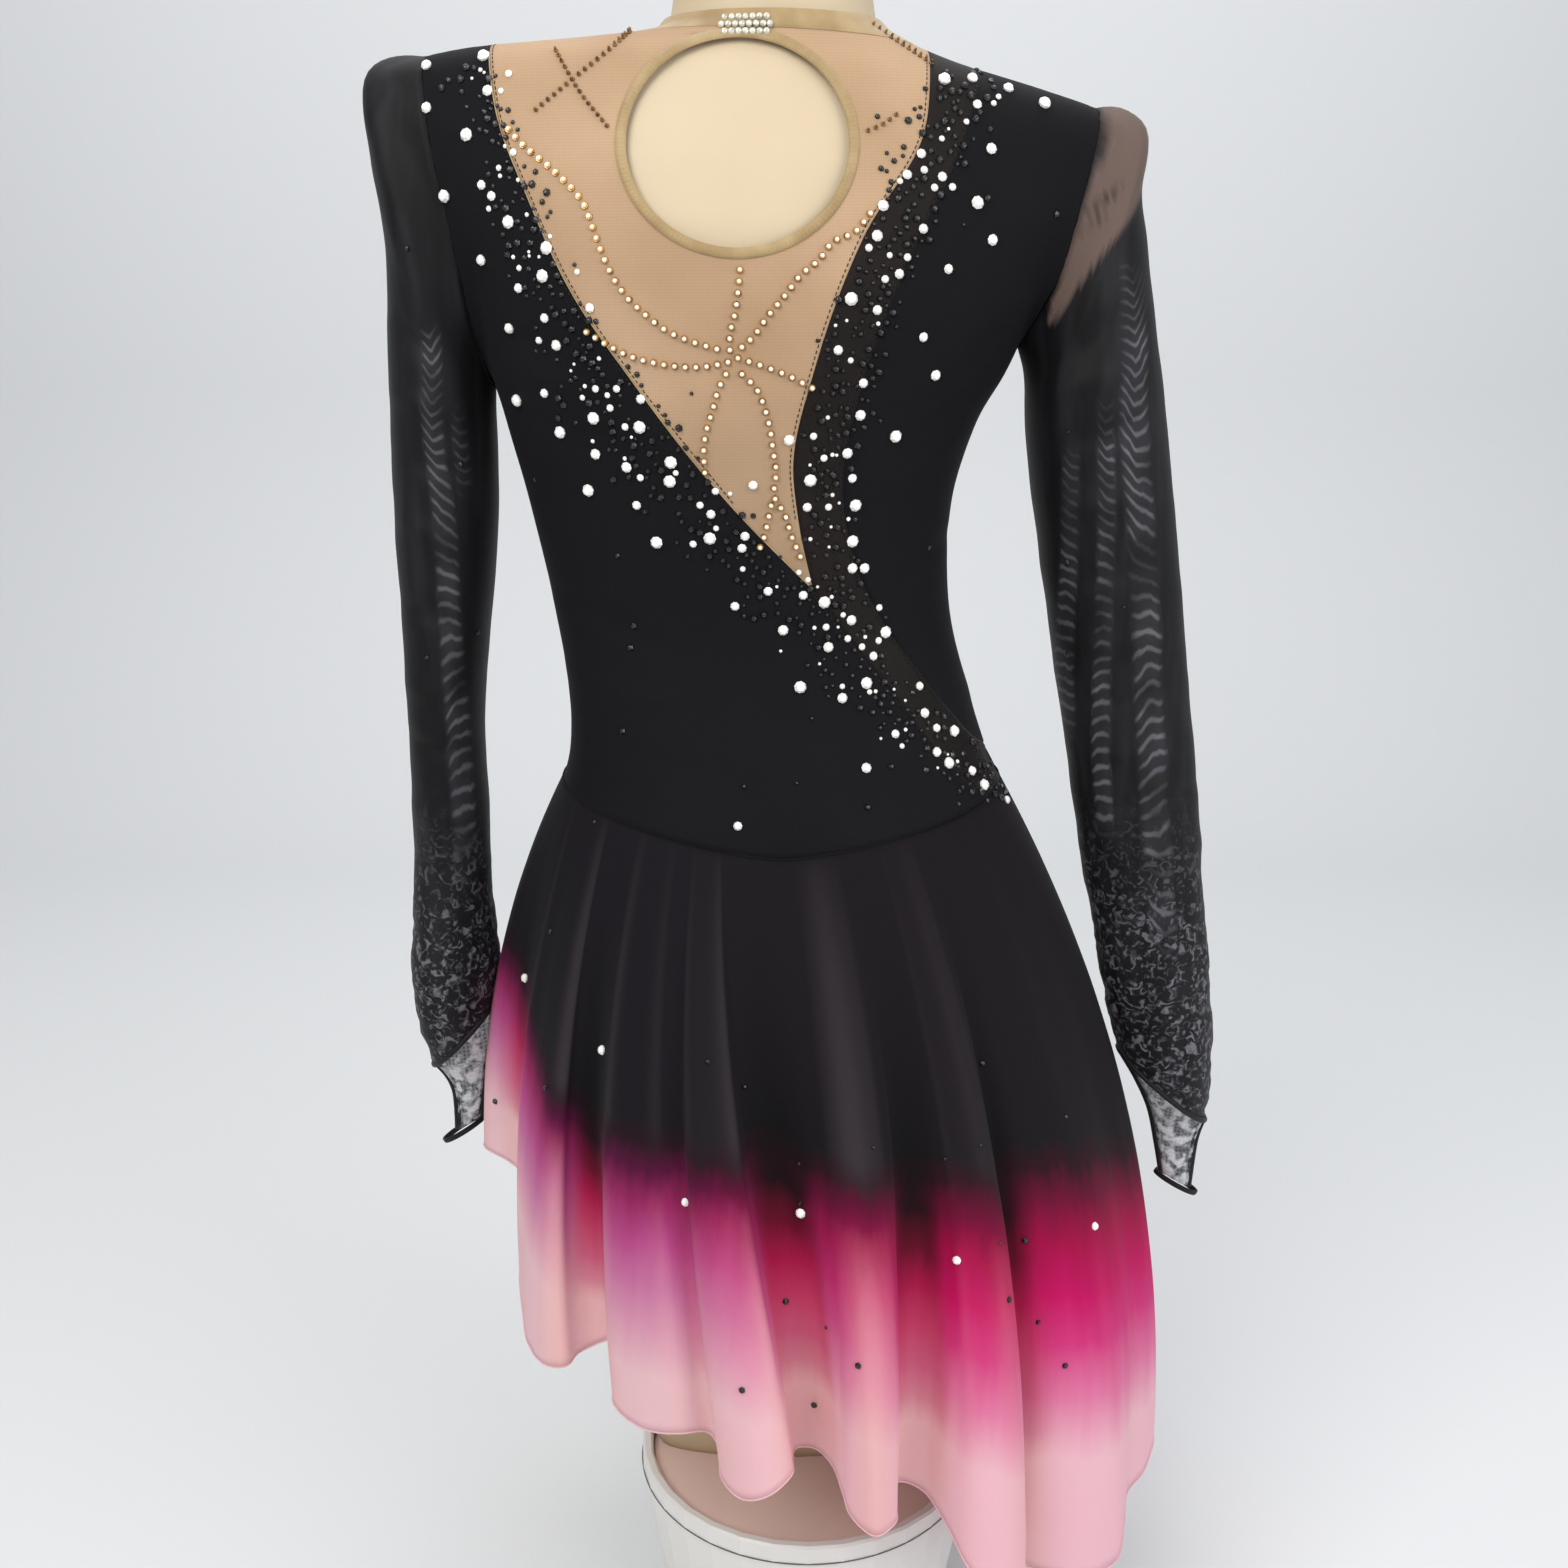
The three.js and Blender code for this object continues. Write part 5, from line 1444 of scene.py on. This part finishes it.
SEED_STRINGS = 4
seed_cups, seed_drops = set_beads(STRINGS[:SEED_STRINGS], 3.9, 1.2)
cups, drops = set_beads(STRINGS[SEED_STRINGS:], 5.6, 1.95)
gold_cups = trimming("bead_cups", cups, GOLD)
bead_drops = trimming("bead_drops", drops, BEAD, facets=False)
small_drops = trimming("bronze_seed_beads", seed_cups + seed_drops, BRONZE, facets=False)
large = [(across, down, dice.choice((2.5, 2.9, 3.4))) for across, down in STONES]
pearls = trimming("pearl_stones", set_stones(large)
                  + set_stones(scattered(120, 1.1, (0.9, 1.2, 1.6, 2.0))), PEARL)
loose = [(dice.uniform(400, 1130), dice.uniform(100, 1450), dice.choice((1.1, 1.5, 1.9)))
         for _ in range(70)]
jets = trimming("jet_stones", set_stones(scattered(1200, 1.0, (1.2, 1.6, 2.1)), 6)
                + set_stones(loose, 6), JET)

# ---------------------------------------------------------------- form and base
for name, finish in (("dress_form", SHELL), ("base_drum", BASE_WHITE), ("base_plate", PLATE_WITH_PAINTED_LIGHT)):
    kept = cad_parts[name]
    for used in kept.material_slots:
        used.material = finish

rim = np.radians(np.arange(0, 360, 3))
rim_line = np.stack([RIM["reach"] * np.cos(rim), RIM["reach"] * np.sin(rim),
                     np.full(len(rim), RIM["height"])], axis=1)
make("base_rim_joint_shadow", *rope(rim_line, RIM["radius"], 6, True), JOINT_SHADOW, "white_plastic")

# ---------------------------------------------------------------- sheets of cloth
# Each sheet: its wall, the rectangle it was cut from and its flat area in metres, how it is
# held, what it rests on or hangs from, and what is fastened to it.
CUT = [
    (back_yoke, CLOTH, (0.26, 0.29), 0.030, "stretched", ["dress_form"],
     [keyhole_binding, collar_binding, clasp, edge_thread, gold_cups, bead_drops, small_drops]),
    (back_left, JERSEY_WALL, (0.32, 0.43), 0.059, "stretched", ["dress_form"],
     [waist_seam, seam_stitches, pearls, jets]),
    (back_band, CLOTH, (0.095, 0.41), 0.0122, "stretched", ["dress_form"], []),
    (back_right, JERSEY_WALL, (0.15, 0.37), 0.033, "stretched", ["dress_form"], []),
    (front, JERSEY_WALL, (0.40, 0.42), 0.118, "stretched", ["dress_form"], []),
    (front_yoke, CLOTH, (0.25, 0.14), 0.0265, "stretched", ["dress_form"], []),
    (left_sleeve, CLOTH, SLEEVE_CUT, SLEEVE_AREA, "hung", [back_left], []),
    (right_sleeve, CLOTH, SLEEVE_CUT, SLEEVE_AREA, "hung", [back_right], []),
    (left_point, CLOTH, POINT_CUT, POINT_AREA, "hung", [left_sleeve], [left_bind, left_loop]),
    (right_point, CLOTH, POINT_CUT, POINT_AREA, "hung", [right_sleeve], [right_bind, right_loop]),
    (skirt_back[0], CHIFFON_WALL, (0.96, 0.55), 0.231, "hung", [back_left], [skirt_back[1]]),
    (skirt_front[0], CHIFFON_WALL, (0.83, 0.53), 0.205, "hung", [front], [skirt_front[1]]),
]
for piece, wall, flat, area, held, rests_on, with_pieces in CUT:
    thicken(piece, wall)

# ---------------------------------------------------------------- floor, light and camera
def plain(name, points, faces, colour, roughness):
    """A painted sweep of floor and backdrop, not part of the object."""
    mesh = bpy.data.meshes.new(name)
    mesh.from_pydata([tuple(p) for p in np.asarray(points, float) * MM], [], faces)
    for polygon in mesh.polygons:
        polygon.use_smooth = True
    obj = bpy.data.objects.new(name, mesh)
    bpy.context.scene.collection.objects.link(obj)
    made, tree, _ = start(name + "_paint")
    paper = node(tree, "BsdfPrincipled", {"Base Color": linear(colour), "Roughness": roughness})
    end(tree, paper.outputs[0])
    mesh.materials.append(made)


bend = np.radians(np.linspace(0, 90, 13))
sweep = [(1500 + 700 * math.sin(a), 700 * (1 - math.cos(a))) for a in bend]
profile = [(-1600, 0)] + sweep + [(2200, 3000)]
plain("floor_and_backdrop", [(x, y, z) for y, z in profile for x in (-3200, 3200)],
      tube_faces(len(profile), 2), "d4d5d6", 0.8)


def lamp(name, place, aim, size, watts, colour):
    """A soft rectangular light at a place, turned towards its aim."""
    light = bpy.data.lights.new(name, "AREA")
    light.shape = "RECTANGLE"
    light.size, light.size_y = size
    light.energy = watts
    light.color = linear(colour)[:3]
    obj = bpy.data.objects.new(name, light)
    bpy.context.scene.collection.objects.link(obj)
    obj.location = Vector(place) * MM
    obj.rotation_euler = (Vector(aim) * MM - obj.location).to_track_quat("-Z", "Y").to_euler()


lamp("key_softbox", (-900, -1500, 2000), (0, 0, 700), (1.4, 1.4), 33, "fffdf8")
lamp("fill_softbox", (1500, -1300, 1300), (0, 0, 600), (1.6, 1.6), 24, "fbfcff")
lamp("top_softbox", (0, 300, 2500), (0, 0, 600), (2.0, 2.0), 16, "ffffff")
lamp("backdrop_light", (0, 900, 2600), (0, 1900, 600), (3.0, 1.0), 18, "ffffff")
world = bpy.data.worlds.new("room")
world.use_nodes = True
world.node_tree.nodes["Background"].inputs["Color"].default_value = linear("dfe3e8")
world.node_tree.nodes["Background"].inputs["Strength"].default_value = 0.6
bpy.context.scene.world = world
bpy.context.scene.view_settings.view_transform = "Standard"

eye = bpy.data.cameras.new("camera")
eye.sensor_width = 36
eye.lens = 36 * FOCAL / FRAME_SIZE
camera = bpy.data.objects.new("camera", eye)
camera.location = EYE * MM
camera.rotation_euler = (math.radians(90) - LOOK_DOWN, 0, 0)
bpy.context.scene.collection.objects.link(camera)
bpy.context.scene.camera = camera
